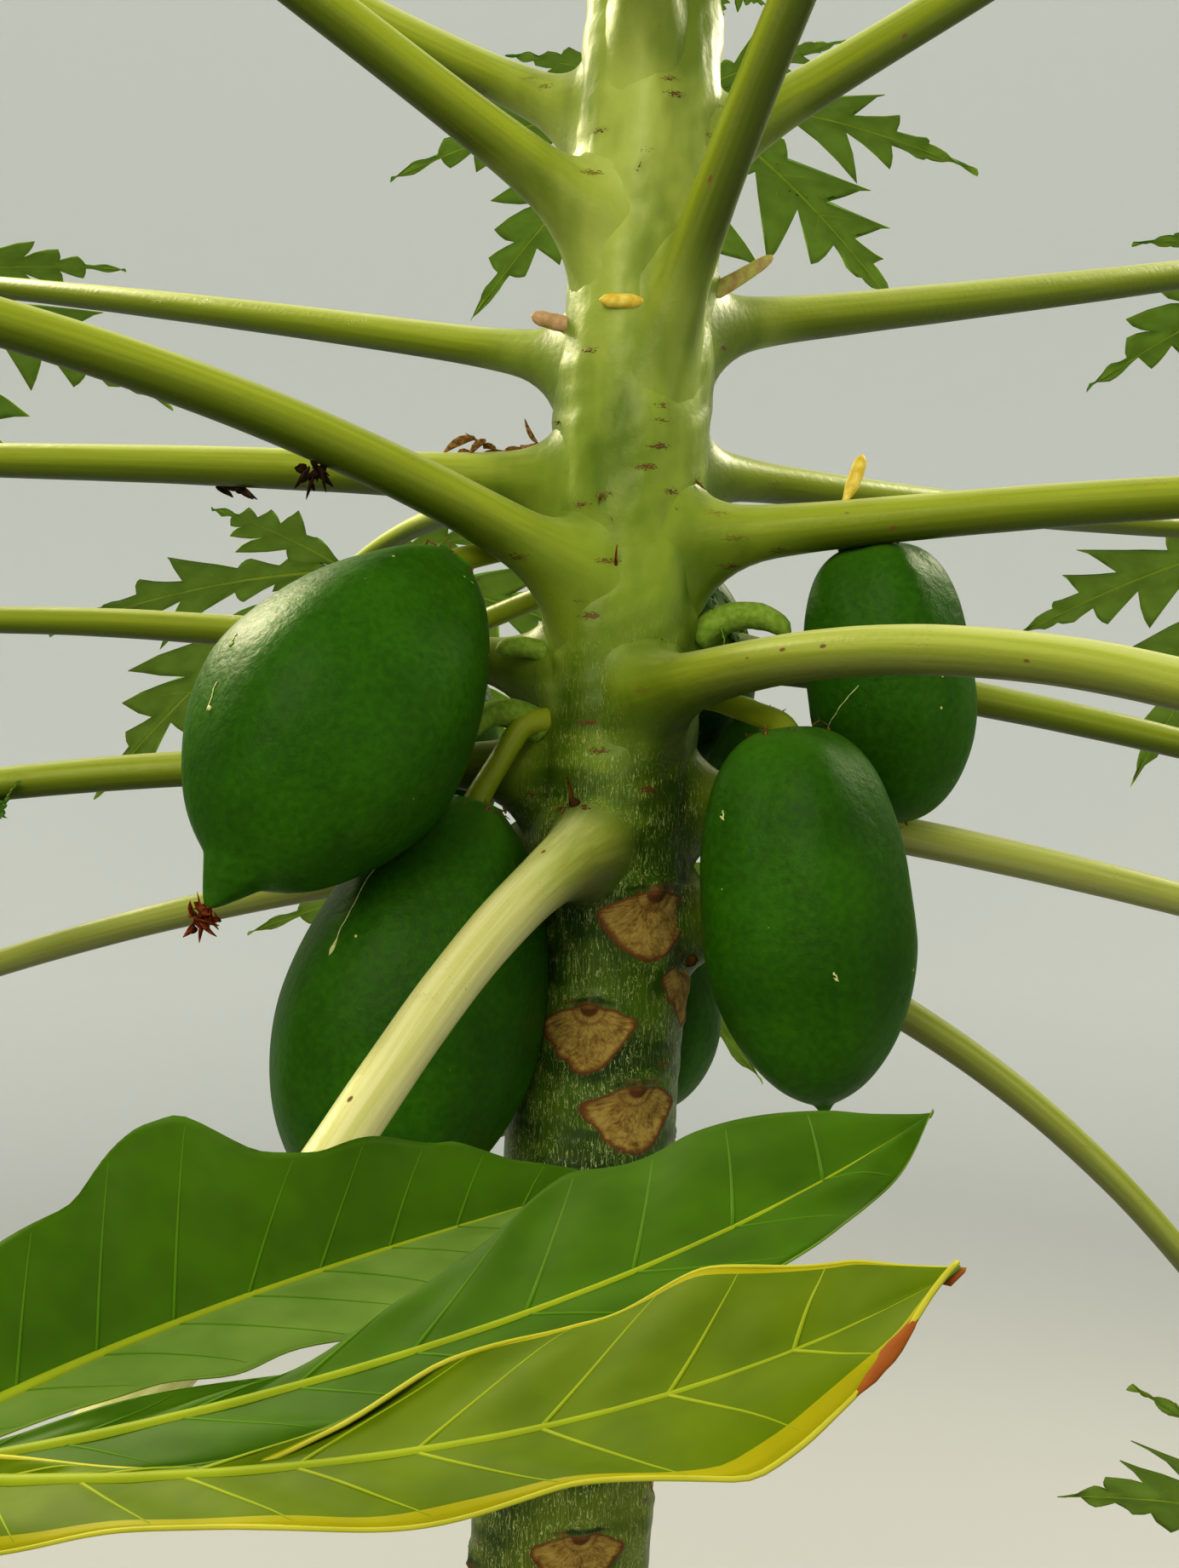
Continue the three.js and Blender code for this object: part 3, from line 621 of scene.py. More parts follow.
    # A dark bow under the bud, and the thin brown rim round the scar
    fade["bow"] = add(tree, "ValToRGB", [fade["reach"]], stops=[
        (0.0, "ffffff"), (0.2, "ffffff"), (0.26, "000000"), (0.36, "000000"), (0.42, "c8c8c8"),
        (0.5, "000000")])
    fade["rim"] = add(tree, "ValToRGB", [ragged], stops=[
        (0.0, "000000"), (0.26, "000000"), (0.3, "ffffff"), (0.33, "ffffff"), (0.4, "000000")])
    for key, *limits in (
            ("fold", fade["old"]), ("streak", fade["band"], fade["old"], fade["bare"]), ("spot", some),
            ("bow", fade["beneath"]), ("crust", fade["above"], fade["broad"]), ("rim", 0.85),
            ("rust", fade["dusty"], 0.45), ("nick", few)):
        for limit in limits:
            fade[key] = add(tree, "Math", [fade[key], limit], operation="MULTIPLY")

    bark = add(tree, "ValToRGB", [fade["share"]], stops=[
        (0.0, "7c7352"), (0.16, "747548"), (0.42, "66732a"), (0.5, "5b6b14"), (0.59, "4a6610"),
        (0.67, "48640f"), (0.72, "6f8420"), (0.775, "7c8f2c"), (0.86, "9eab54"), (1.0, "8b9940")])
    cork = add(tree, "ValToRGB", [fibre], stops=[(0.36, "664c22"), (0.48, "8c7338"), (0.6, "a58e4c")])
    cork = add(tree, "Mix", {0: fade["bow"], 6: cork, 7: "5f3a1c"}, out=2, data_type="RGBA")
    flaky = add(tree, "ValToRGB", [noise["patchy"]], stops=[
        (0.42, "243510"), (0.52, "3f4a1c"), (0.62, "6b4a24")])
    # Stalk skin by how far its face looks up: painted shade beneath and a painted highlight on top
    skin = add(tree, "ValToRGB", [fade["side"]], stops=[
        (0.02, "3f4c06"), (0.3, "62700d"), (0.52, rgba(look.stalk_side)), (0.8, "9aa736"), (1.0, "c3ca88")])
    coats = []
    for coat, layers in (
            (bark, (("cloud", "b4c298", "MULTIPLY"), ("fold", "a2b880", "MULTIPLY"),
                    ("streak", "b6bf7c", "MIX"), ("spot", "5c3c1a", "MIX"), ("crust", flaky, "MIX"),
                    ("edge", cork, "MIX"), ("rim", "63351a", "MIX"))),
            (skin, (("pale", "dbd6a4", "MIX"), ("lines", "ecedd4", "MULTIPLY"), ("rust", "8a5a2a", "MIX"),
                    ("nick", "6e4a22", "MIX")))):
        for key, over, blend in layers:
            coat = add(tree, "Mix", {0: pale if key == "pale" else fade[key], 6: coat, 7: over}, out=2,
                       data_type="RGBA", blend_type=blend)
        coats.append(coat)
    colour = add(tree, "Mix", {0: stalk, 6: coats[0], 7: coats[1]}, out=2, data_type="RGBA")

    gloss = add(tree, "MapRange", [noise["fine"], 0.0, 1.0, 0.33, 0.5])
    gloss = add(tree, "Mix", {0: fade["edge"], 2: gloss, 3: 0.85}, data_type="FLOAT")
    cracked = add(tree, "Math", [fibre, fade["edge"]], operation="MULTIPLY")
    relief = noise["fine"]
    for mark, strength in ((fade["streak"], 1.2), (fade["spot"], 1.6), (cracked, 3.0)):
        relief = add(tree, "Math", [mark, strength, relief], operation="MULTIPLY_ADD")
    bump = add(tree, "Bump", {"Height": relief, "Strength": 0.4, "Distance": 0.0007})
    fill(shader, {"Base Color": colour, "Roughness": gloss, "Normal": bump, "IOR": 1.45,
                  "Specular IOR Level": 0.3})
    return material


def fruit_skin(look):
    """Unripe papaya skin: a tough waxy rind, dark green, finely mottled, with tiny specks of dried latex."""
    material, tree, shader = new_material("papaya_rind_waxed_green")
    at = add(tree, "TexCoord", out="Object")
    near = add(tree, "Attribute", out="Fac", attribute_name="necking")
    # Mottles about 4 mm across over clouds of 50 mm
    mottle = add(tree, "TexNoise", {"Vector": at, "Scale": 240.0, "Detail": 3.0})
    cloud = add(tree, "TexNoise", {"Vector": at, "Scale": 20.0, "Detail": 2.0})
    both = add(tree, "Mix", {0: 0.55, 2: mottle, 3: cloud}, data_type="FLOAT")
    colour = add(tree, "ValToRGB", [both], stops=[(0.36, "204802"), (0.5, rgba(look.rind)), (0.64, "305e04")])
    # Specks half a millimetre wide, drawn as 1.6 mm so that they show, about 28 mm apart
    cell = add(tree, "TexVoronoi", {"Vector": at, "Scale": 75.0}, out=None)
    speck = add(tree, "MapRange", [cell["Distance"], 0.075, 0.045])
    some = add(tree, "SeparateColor", [cell["Color"]], out=1)
    some = add(tree, "Math", [some, 0.22], operation="LESS_THAN")
    speck = add(tree, "Math", [speck, some], operation="MULTIPLY")
    for mask, over in ((speck, "b9bd7a"), (near, "4f7d26")):
        colour = add(tree, "Mix", {0: mask, 6: colour, 7: over}, out=2, data_type="RGBA")
    gloss = add(tree, "MapRange", [mottle, 0.0, 1.0, 0.4, 0.56])
    # Shallow wrinkles about 8 mm apart
    wrinkle = add(tree, "TexNoise", {"Vector": at, "Scale": 120.0, "Detail": 4.0, "Roughness": 0.6})
    bump = add(tree, "Bump", {"Height": wrinkle, "Strength": 0.5, "Distance": 0.002})
    fill(shader, {"Base Color": colour, "Roughness": gloss, "Normal": bump, "IOR": 1.45,
                  "Specular IOR Level": 0.13})
    return material


def plain_skin(name, code, roughness, deeper, scale):
    """A matt skin with a faint mottle of its own scale, made once: lamina, vein, dried flower or bud."""
    if name in bpy.data.materials:
        return bpy.data.materials[name]
    material, tree, shader = new_material(name)
    at = add(tree, "TexCoord", out="Object")
    mottle = add(tree, "TexNoise", {"Vector": at, "Scale": scale, "Detail": 2.0})
    colour = add(tree, "ValToRGB", [mottle], stops=[(0.35, deeper), (0.65, code)])
    fill(shader, {"Base Color": colour, "Roughness": roughness, "IOR": 1.42, "Specular IOR Level": 0.08})
    return material


# Shapes


def leaf_scars():
    """Turn in radians, height, width and height factors of each scar, down the trunk by the golden turn."""
    rng = np.random.default_rng(7)
    rows = []
    for k in range(SCAR_COUNT):
        age = k / SCAR_COUNT
        turn = SCAR_TOP_TURN + GOLDEN_TURN * k + rng.uniform(-6, 6)
        height = SCAR_TOP - SCAR_DROP * k * (1 + 0.003 * k)
        wide = 1.12 + 0.3 * age + rng.uniform(-0.1, 0.1)
        tall = rng.uniform(0.98, 1.1) - 0.25 * age
        turn, height, wide, tall = SCAR_PLACES.get(k, (turn, height, wide, tall))
        rows.append((math.radians(turn), height, wide, tall))
    return [row for row in rows if row[1] > SCAR_LOWEST]


def scar_field(turn, z):
    """Distance from the nearest scar's edge (negative inside) and the place in it, across and up.

    A scar is a shield with its point down: the fifth root of the summed fifth powers of how far a place goes
    towards each of its sides.
    """
    best = np.full(turn.shape, SCAR_FAR)
    across, above = np.zeros(turn.shape), np.zeros(turn.shape)
    for middle, height, wide, tall in leaf_scars():
        u = nearest(turn - middle) * trunk_radius(height) / wide
        v = (z - height) / tall
        power = sum(np.maximum((a * u + b * v) / h, 0) ** 5 for a, b, h in SCAR_SIDES) ** 0.2
        away = (power - 1) * SCAR_REACH + SCAR_WANDER * ripple(int(height * 1e4), u * 220, v * 220)
        near = away < best
        best = np.where(near, away, best)
        across = np.where(near, u, across)
        above = np.where(near, v, above)
    return best, across, above


def trunk_rows():
    """Heights of the trunk's rows: 2 mm apart where the photo looks, 3 mm above, 5.6 mm elsewhere."""
    heights = [0.0]
    while heights[-1] < TRUNK_HEIGHT:
        z = heights[-1]
        fine, middling = (low < z < high for low, high in (FINE_ROWS, MIDDLE_ROWS))
        heights.append(z + ROW_STEPS[0 if fine else 1 if middling else 2])
    heights[-1] = TRUNK_HEIGHT
    return np.array(heights)


def swellings(turn, z):
    """Ridges that run down the bark under each stalk's foot: a bell across, an even fade down."""
    out = 0
    for leaf in LEAVES:
        u = nearest(turn - math.radians(leaf.side)) * trunk_radius(z)
        drop = leaf.height - z
        fade = smooth(drop, -0.02, 0.012) * (1 - smooth(drop, 0.015, 0.105))
        out = np.maximum(out, RIDGE_HEIGHT * bell(u, RIDGE_WIDTH) * fade)
    return out


def trunk_shell(columns):
    """The trunk's skin as a height field on turn and height.

    Each scar is a sunken floor inside a raised rim, with fibres, a mound at its bud and the trace of the old
    stalk's strands round it. Young bark has a torn crust above each scar. Ridges, rings and wander at four
    sizes are added to the whole.
    """
    z = trunk_rows()[:, None]
    turn = np.arange(columns)[None] * TAU / columns + math.pi / 2
    z, turn = np.broadcast_arrays(z, turn)
    away, across, above = scar_field(turn, z)
    above_bud = above - SCAR_BUD
    near = away < 0.012
    young = smooth(z, 0.2, 1.2)
    rim = 0.0011 * bell(away, 0.0015)
    floor = -0.0007 * smooth(-away, 0.0005, 0.004) + 0.0014 * smooth(-away, 0.002, 0.016)
    fibres = 0.0002 * np.sin(across / np.maximum(0.03 + above, 0.006) * 55) * smooth(-away, 0, 0.003)
    mound = 0.0032 * bell(np.hypot(across, above_bud), 0.0042)
    trace = np.hypot(across, np.minimum(above_bud, 0) * 0.9)
    trace = -0.0007 * bell(trace - 0.0085, 0.0013) * (above_bud < 0)
    crust = bell(above - 0.0165, 0.0028) * bell(across, 0.013)
    crust = crust * (0.0022 + 0.0012 * ripple(17, across * 900, above * 900))
    out = (rim + floor + fibres) * (0.35 + 0.65 * young) + (mound + trace + crust) * near * young
    out = out + swellings(turn, z)
    # Wander: its size, seed, and waves round and up the trunk
    for size, seed, waves, waves_up in (
            (0.0007, 3, 2, 14), (0.0008 * young, 21, 1.5, 95), (0.00022, 5, 14, 260),
            (0.0011 * np.exp(-z / 0.5), 9, 5, 40)):
        out = out + size * ripple(seed, np.cos(turn) * waves, np.sin(turn) * waves, z * waves_up)
    out = np.where(z < 0.002, 0, out)
    rings = trunk_place(turn, z, out)
    scar = np.clip(0.3 - away / 0.02, 0, 1)
    scar_at = np.stack([across, above_bud, z], -1)
    return closed(rings, trunk_axis(0.0), trunk_axis(TRUNK_HEIGHT), scar=scar, scar_at=scar_at)


def limb_girth(limb, reach):
    """Half-thickness at a reach: an even taper, swollen at the foot, and on past the end as the stub."""
    taper = 1 + (STALK_TAPER - 1) * np.clip(reach / limb.length, 0, 1)
    stub = 1 + (STUB_TAPER - 1) * np.clip((reach - limb.length) / STUB_REACH, 0, 1)
    swell = STALK_SWELL * np.exp(-np.maximum(reach - STALK_SINK, 0) / STALK_SWELL_REACH)
    return limb.half * taper * stub + swell


def limb_skin(limb, foot, reach, turn):
    """Places on a limb's skin at reaches and turns round it (0 across, a quarter up)."""
    middle, ahead = walk(limb, foot, reach)
    across, up = sides_of(ahead)
    out = np.cos(turn)[..., None] * across + np.sin(turn)[..., None] * up
    return middle + limb_girth(limb, reach)[..., None] * out


def stalk_shell(limb, around, rows, paleness):
    """A stalk that melts into the trunk.

    Each line along the stalk is followed to where it leaves the trunk. A cubic curve joins a ring on the
    bark some way outside that crossing to a ring on the stalk beyond it, level with both, and the rest is
    the limb's own skin.
    """
    foot = foot_of(limb)
    turn = np.arange(around) * TAU / around
    probe = np.linspace(0, PROBE_REACH, 261)
    # Where each line along the stalk leaves the trunk for good
    gap = trunk_clearance(limb_skin(limb, foot, *np.broadcast_arrays(probe[:, None], turn[None])))
    last = len(probe) - 1 - np.argmax((gap < 0)[::-1], axis=0)
    last = np.minimum(last, len(probe) - 2)
    column = np.arange(around)
    before, after = gap[last, column], gap[last + 1, column]
    leave = probe[last] + (probe[1] - probe[0]) * np.clip(-before / np.maximum(after - before, 1e-6), 0, 1)
    cross = limb_skin(limb, foot, leave, turn)
    # The ring on the bark, spread outwards from the crossing, mostly downwards
    off = cross - trunk_axis(cross[:, 2])
    bark_turn = np.arctan2(off[:, 1], off[:, 0])
    middle = np.arctan2(np.sin(bark_turn).mean(), np.cos(bark_turn).mean())
    girth = trunk_radius(limb.height)
    flat = np.stack([nearest(bark_turn - middle) * girth, cross[:, 2]], -1)
    away = unit(flat - flat.mean(0))
    spread = 0.015 + 0.017 * np.maximum(-away[:, 1], 0) + 0.003 * np.abs(away[:, 0])
    spread = spread * (1 - 0.5 * smooth(paleness, 0.4, 0.7))
    ring = flat + away * spread[:, None]
    bark_turn = middle + ring[:, 0] / girth
    outer = trunk_place(bark_turn, ring[:, 1], swellings(bark_turn, ring[:, 1]) - 0.0016)
    # The ring on the stalk, and the cubic curve between the two
    begin = leave + 0.03 + 0.016 * np.maximum(-away[:, 1], 0)
    inner = limb_skin(limb, foot, begin, turn)
    along = unit(limb_skin(limb, foot, begin + 0.002, turn) - inner)
    t = np.linspace(0, 1, 11)[:, None, None]
    b = outer + FILLET_PULL * (cross - outer)
    c = inner - FILLET_PULL * along * np.linalg.norm(inner - cross, axis=1)[:, None]
    fillet = (1 - t) ** 3 * outer + 3 * (1 - t) ** 2 * t * b + 3 * (1 - t) * t * t * c + t ** 3 * inner
    # The rest of the stalk, closer rows first, with a slight unevenness
    share = np.linspace(0, 1, rows)[1:, None] ** 1.25
    end = limb.length + STUB_REACH
    reach = begin[None] + (end - begin[None]) * share
    wide = np.broadcast_to(turn, reach.shape)
    body = limb_skin(limb, foot, reach, wide)
    centre, _ = walk(limb, foot, reach)
    wobble = 0.02 * ripple(int(limb.height * 1000), np.cos(wide) * 1.2, np.sin(wide) * 1.2, reach * 22)
    body = body + (body - centre) * (wobble * smooth(share, 0, 0.05))[..., None]
    rings = np.concatenate([fillet, body])
    # Traits for the skin: bark turns to stalk along the curve, and the pale stalk pales outwards
    far = np.concatenate([begin[None] - 0.03 * (1 - t[..., 0]), reach])
    # How far each face looks up, which the stalk skin paints as shade beneath and a highlight on top
    facing = np.sin(np.broadcast_to(turn, far.shape))
    kept = 0.45 + 0.35 * smooth(paleness, 0.4, 0.7)
    stalkness = np.concatenate([np.broadcast_to(kept * smooth(t[..., 0], 0.2, 1.0), (11, around)),
                                kept + (1 - kept) * smooth(reach - begin, -0.002, 0.05)])
    girths = limb_girth(limb, far)
    grain = np.stack([girths * np.cos(turn), girths * facing, far + limb.height * 7], -1)
    pole, _ = walk(limb, foot, np.array(0.0))
    tip, _ = walk(limb, foot, np.array(end + 0.004))
    return closed(rings, pole, tip, stalkness=stalkness, upward=facing, grain=grain,
                  paleness=paleness * (0.22 + 0.78 * smooth(far, 0.045, 0.15)))


# Blades


def line_length(share, heights, web, outer):
    """How far a side line runs from the rib to the margin, as a share of the lobe.

    It is webbed to the next lobe up to the sinus, then rises from each valley to the point of the next
    side lobe and falls back again, with full flanks.
    """
    knots = [(0.0, 0.0)] if outer else [(0.0, 0.0), (web, WEB_SLOPE * web)]
    for valley, peak, height in zip(VALLEYS, PEAKS, heights):
        knots += [valley, (peak[0], peak[1] * height)]
    knots += [VALLEYS[-1], (1.0, 0.0)]
    if not outer:
        knots = [k for i, k in enumerate(knots) if i < 2 or k[0] > web]
    at, size = np.array(knots).T
    i = np.clip(np.searchsorted(at, share, side="right") - 1, 0, len(at) - 2)
    t = (share - at[i]) / (at[i + 1] - at[i])
    rising = size[i + 1] > size[i]
    eased = np.where(rising, t ** 0.8, 1 - (1 - t) ** 0.8)
    straight = (i == 0) & (not outer)
    return size[i] + (size[i + 1] - size[i]) * np.where(straight, t, eased)


def lobe_rows(fine):
    """Rows along the rib through every side lobe's point and valley."""
    keys = sorted({0.012, 1.0, 0.06, 0.12} | {p[0] for p in PEAKS} | {v[0] for v in VALLEYS})
    parts = [np.linspace(a, b, fine, endpoint=False) for a, b in zip(keys[:-1], keys[1:])]
    return np.concatenate(parts + [[0.995]])


def lobe_sheet(length, left, right, share, across, look):
    """A lobe's lamina on shares of the rib and -1..1 across it: level place and rise.

    Lines leave the rib at a forward lean. Each half folds up from the rib, droops towards its points, is
    quilted between the side veins and waves at its margin.
    """
    side = np.sign(across)
    out = np.abs(across)
    run = np.where(across < 0, right, left) * out * length
    x = share * length + run * math.cos(SIDE_VEIN_LEAN)
    y = side * run * math.sin(SIDE_VEIN_LEAN)
    fold, droop, wave, phase = look
    knots = [0] + [p[0] for p in PEAKS] + [1]
    quilt = np.interp(share, knots, range(len(knots)))
    rise = fold * np.abs(y) - droop * y * y / length
    domes = (1 - np.cos(TAU * quilt)) * np.sin(math.pi * np.minimum(out, 0.999)) ** 0.8
    rise = rise + 0.0055 * length * domes
    rise = rise + wave * length * out ** 2 * np.sin(TAU * (share * 5.5 + 0.25 * side) + phase)
    return x, y, rise


def slab(x, y, rise, place, finish_top, finish_under, start, end):
    """A closed thin sheet from a level grid: over the top from edge to edge and back beneath it."""
    half = LAMINA / 2
    top = place(x, y, rise + half)
    under = place(x, y, rise - half)
    rings = np.concatenate([top, under[:, ::-1]], 1)
    finish = np.concatenate([np.broadcast_to(side, x.shape[1:]) for side in (finish_top, finish_under)])
    return closed(rings, place(*start), place(*end), finish)


def ridge(place, x, y, rise, radii, sides, finish, flat):
    """A vein along places on a sheet: a flattened tube that stands up from it."""
    path = place(x, y, rise)
    over = unit(place(x, y, rise + 0.01) - path)
    return tubes(path, radii, sides, over, finish, flat=flat)


def lobe_shells(length, webs, place, rng, fine, half_columns, finishes, outer):
    """A lobe's lamina, its rib and its side veins, in the place that a rule gives each level point."""
    lamina, under, vein = finishes
    share = lobe_rows(fine)[:, None]
    heights = rng.uniform(0.8, 1.06, (2, len(PEAKS)))
    left, right = (line_length(share, *half) for half in zip(heights, webs, outer))
    steps = np.linspace(0, 1, half_columns + 1) ** 0.85
    across = np.concatenate([-steps[:0:-1], steps])[None]
    look = (LOBE_FOLD + rng.uniform(-0.05, 0.05), LOBE_DROOP, rng.uniform(0.008, 0.018), rng.uniform(0, TAU))
    sheet = lobe_sheet(length, left, right, *np.broadcast_arrays(share, across), look)
    shells = [slab(*sheet, place, lamina, under, (0.0, 0.0, 0.0), (length, 0.0, 0.0))]
    along = np.linspace(0.01, 0.985, 12)
    radii = (0.0021 * (1 - along) + 0.0004) * length / VEIN_LENGTH
    shells.append(ridge(place, along * length, 0 * along, 0 * along, radii, 6, vein, 0.8))
    at = np.array([p[0] for p in PEAKS[:4]])[:, None]
    t = np.linspace(0, 0.93, 7)[None]
    for side, lengths in ((1, left), (-1, right)):
        reach = np.interp(at[:, 0], share[:, 0], lengths[:, 0])[:, None]
        sheet = lobe_sheet(length, reach, reach, at + 0 * t, side * t + 0 * at, look)
        radii = 0.0011 * (1 - 0.85 * t) * (0.7 + 0.3 * (reach > 0.12)) * length / VEIN_LENGTH
        shells.append(ridge(place, *sheet, radii, 4, vein, 0.8))
    return shells


def blade_rule(leaf, hub, fold=0.0):
    """The place of a level point on a blade: turned to its front and sagging with the square of the reach."""
    front = bearing(leaf.face, -leaf.nod)
    left, up = sides_of(front)

    def place(x, y, z):
        reach = np.hypot(x, y)
        sag = BLADE_SAG * reach * reach / leaf.blade
        high = np.asarray(z) - sag + fold * np.abs(y)
        return hub + np.asarray(x)[..., None] * front + np.asarray(y)[..., None] * left + high[..., None] * up

    return place


def leaf_shells(leaf, hub, seed, fine, half_columns, finishes, fold=0.0):
    """Seven lobes round the hub, the middle one longest, each turned by the lobes' step."""
    rng = np.random.default_rng(seed)
    place = blade_rule(leaf, hub, fold)
    most = len(LOBE_LENGTHS) - 1
    shells = []
    for lobe in range(-most, most + 1):
        size = LOBE_LENGTHS[abs(lobe)]
        turn = math.radians(LOBE_STEP * lobe + (rng.uniform(-3, 3) if abs(lobe) < most else 0))
        cos, sin = math.cos(turn), math.sin(turn)
        webs = []
        for beside in (lobe + 1, lobe - 1):
            near = LOBE_LENGTHS[abs(beside)] if abs(beside) <= most else 0
            webs.append(WEB_REACH * SINUS * (size + near) / 2 / size)

        def turned(x, y, z):
            x, y = np.asarray(x, float), np.asarray(y, float)
            return place(x * cos - y * sin, x * sin + y * cos, z)

        shells += lobe_shells(size * leaf.blade, webs, turned, rng, fine, half_columns, finishes,
                              (lobe == most, lobe == -most))
    return shells


def old_leaf_shells(leaf, hub, finishes):
    """The old leaf: each lobe follows its own rib, with wavy margins that have turned yellow."""
    green, yellowing, under, vein, margin_finish, scorched, bright, painted_sheen, soft = finishes
    shells = []
    for index, (*way, length, tilt, full_left, full_right) in enumerate(OLD_LOBES):
        rib = Limb(0, 0, *way, length * MM, 0)
        tilt = math.radians(tilt)
        yellow = index == YELLOW_LOBE

        def place(x, y, z, rib=rib, tilt=tilt):
            middle, ahead = walk(rib, hub, x)
            across, up = sides_of(ahead)
            beside = across * math.cos(tilt) + up * math.sin(tilt)
            over = up * math.cos(tilt) - across * math.sin(tilt)
            return middle + np.asarray(y)[..., None] * beside + np.asarray(z)[..., None] * over

        steps = np.linspace(0, 1, 13) ** 0.8
        share, across = np.broadcast_arrays(np.linspace(0.004, 0.995, 84)[:, None],
                                            np.concatenate([-steps[:0:-1], steps])[None])
        side, out = np.sign(across), np.abs(across)
        ahead = share + 0.15 * np.sin(math.pi * share) ** 0.7 * (1 - share) ** 0.2
        halves, folds, shown = [], [], []
        for half, full in ((-1, full_right), (1, full_left)):
            drawn = (index, half) in OLD_LOBE_HALVES
            fold, outline = OLD_LOBE_HALVES.get((index, half), (0.1, OLD_LOBE_PROFILE))
            halves.append(np.interp(ahead, *zip(*outline)) * (1 if drawn else full))
            folds.append(fold)
            shown.append(drawn)
        width = np.where(across < 0, *halves)
        width[1:-1] = (width[:-2] + 2 * width[1:-1] + width[2:]) / 4
        tooth = 0.07 * np.sin(TAU * (ahead * 6.3 + 0.4 * side + 0.3 * index))
        tooth = 1 + tooth * smooth(ahead, 0.2, 0.4) * (1 - 0.7 * np.where(across < 0, *shown))
        x = (share + (ahead - share) * out) * rib.length
        y = side * out * width * tooth * rib.length
        # The fold at the rib and the droop, then quilting, a wavy margin and wander
        rise = np.where(across < 0, *folds) * np.abs(y) - 0.7 * y * y / rib.length
        quilt = 0.001575 * (1 - np.cos(TAU * share * 9)) * np.sin(math.pi * out) ** 0.8
        margin = 0.009 * out ** 3 * np.sin(TAU * (share * 3.1 + 0.3 * side + 0.21 * index))
        wander = 0.006 * out ** 2 * ripple(40 + index, share * 9, out * 2 * side)
        rise = rise + (quilt + margin + wander) * rib.length
        # Painted shade: the green lobes take the darker shaded copy of the lamina
        finish = np.full(x.shape[1], yellowing if yellow else green)
        if yellow:
            finish[[0, 1, -2]] = bright
        # Painted sheen: the lower half of this lobe takes a paler grey-green
        if index == PAINTED_SHEEN_LOBE:
            finish[:12] = painted_sheen
        shells.append(slab(x, y, rise, place, finish, under, (0.0, 0.0, 0.0), (rib.length, 0.0, 0.0)))
        along = np.linspace(0.01, 0.98, 24)
        radii = 0.0026 * (1 - along) + 0.0005
        shells.append(ridge(place, along * rib.length, 0 * along, 0 * along, radii, 8, vein, 0.8))
        rows = np.arange(8, 76, 8)
        for columns in (np.arange(12, 24), np.arange(12, 0, -1)):
            pick = np.ix_(rows, columns)
            radii = 0.0007 * np.linspace(1, 0.3, len(columns))[None] + np.zeros((len(rows), 1))
            shells.append(ridge(place, x[pick], y[pick], rise[pick] + 0.0004, radii, 5,
                                vein if yellow else soft, 0.5))
        if yellow:
            # A yellow edge down both sides, a burnt tip and a burnt curl at one margin
            edge = np.stack([place(x[:, column], y[:, column], rise[:, column]) for column in (0, 24)])
            burnt = place(np.array([0.985, 0.99, 1.0]) * rib.length, np.zeros(3), np.zeros(3))
            curl = place(x[68:77, 0], y[68:77, 0], rise[68:77, 0])
            wide = np.sin(math.pi * np.linspace(0.08, 0.92, 9)) * (1 + 0.3 * ripple(8, np.arange(9) * 1.3))
            shells.append(tubes(edge, 0.0009, 5, UP, margin_finish, flat=0.7))
            shells.append(tubes(burnt, 0.0035 * np.array([1.0, 0.8, 0.4]), 8, UP, scorched, flat=0.4))
            shells.append(tubes(curl, 0.0024 * wide, 8, UP, scorched, flat=0.5))
    return shells


# Fruits


def turned_down(down):
    """The two directions square to a fruit's axis: +X and +Z after the least turn that takes +Y to it."""
    v = np.cross([0, 1, 0], down)
    k = np.array([[0, -v[2], v[1]], [v[2], 0, -v[0]], [-v[1], v[0], 0]])
    matrix = np.eye(3) + k + k @ k / (1 + down[1])
    return matrix[:, 0], matrix[:, 2]


def fruit_width(fruit, part):
    """Half-width at a share of the length: two superellipses that meet at the belly, and the nipple's own."""
    belly, nipple = fruit.belly, fruit.nipple
    above = part < belly
    away = np.where(above, 1 - part / belly, (part - belly) / (1 - nipple - belly))
    form = np.where(above, fruit.neck_form, fruit.tip_form)
    body = np.maximum(1 - np.abs(away) ** form, 0) ** (1 / form)
    slim = NIPPLE_WIDTH * np.sqrt(1 - part ** NIPPLE_ROUNDING) if nipple > 0 else 0 * part
    slim = slim * (1 - 0.6 * smooth(part, 1 - 2.4 * nipple - 0.01, 1))
    slim = slim + 12 * nipple * (1 - part) * smooth(part, 0.7, 0.9)
    return fruit.half * MM * np.cbrt(body ** 3 + slim ** 3)


def fruit_axis(fruit):
    """A fruit's neck and end, the length between them and the way down."""
    neck, end = np.array(fruit.neck) * MM, np.array(fruit.end) * MM
    length = np.linalg.norm(end - neck)
    return neck, end, length, (end - neck) / length


def fruit_place(fruit, index, part, turn, out=0.0):
    """Places on a fruit's rind: its half-width with five ribs, sharper at the neck, and slight lumps."""
    neck, _, length, down = fruit_axis(fruit)
    a, b = turned_down(down)
    ribs = 1 + FRUIT_RIB_RELIEF * np.cos(FRUIT_RIBS * turn) * (1 + 2.0 * np.exp(-part / 0.16))
    lumps = 1 + 0.006 * ripple(index, np.cos(turn) * 3, np.sin(turn) * 3, part * 9)
    creases = 1 - 0.012 * np.abs(np.sin(FRUIT_RIBS * turn / 2 + index)) * np.exp(-part / 0.3)
    wide = fruit_width(fruit, part) * ribs * lumps * creases + out
    level = np.cos(turn)[..., None] * a + np.sin(turn)[..., None] * b
    return neck + np.asarray(part)[..., None] * length * down + wide[..., None] * level


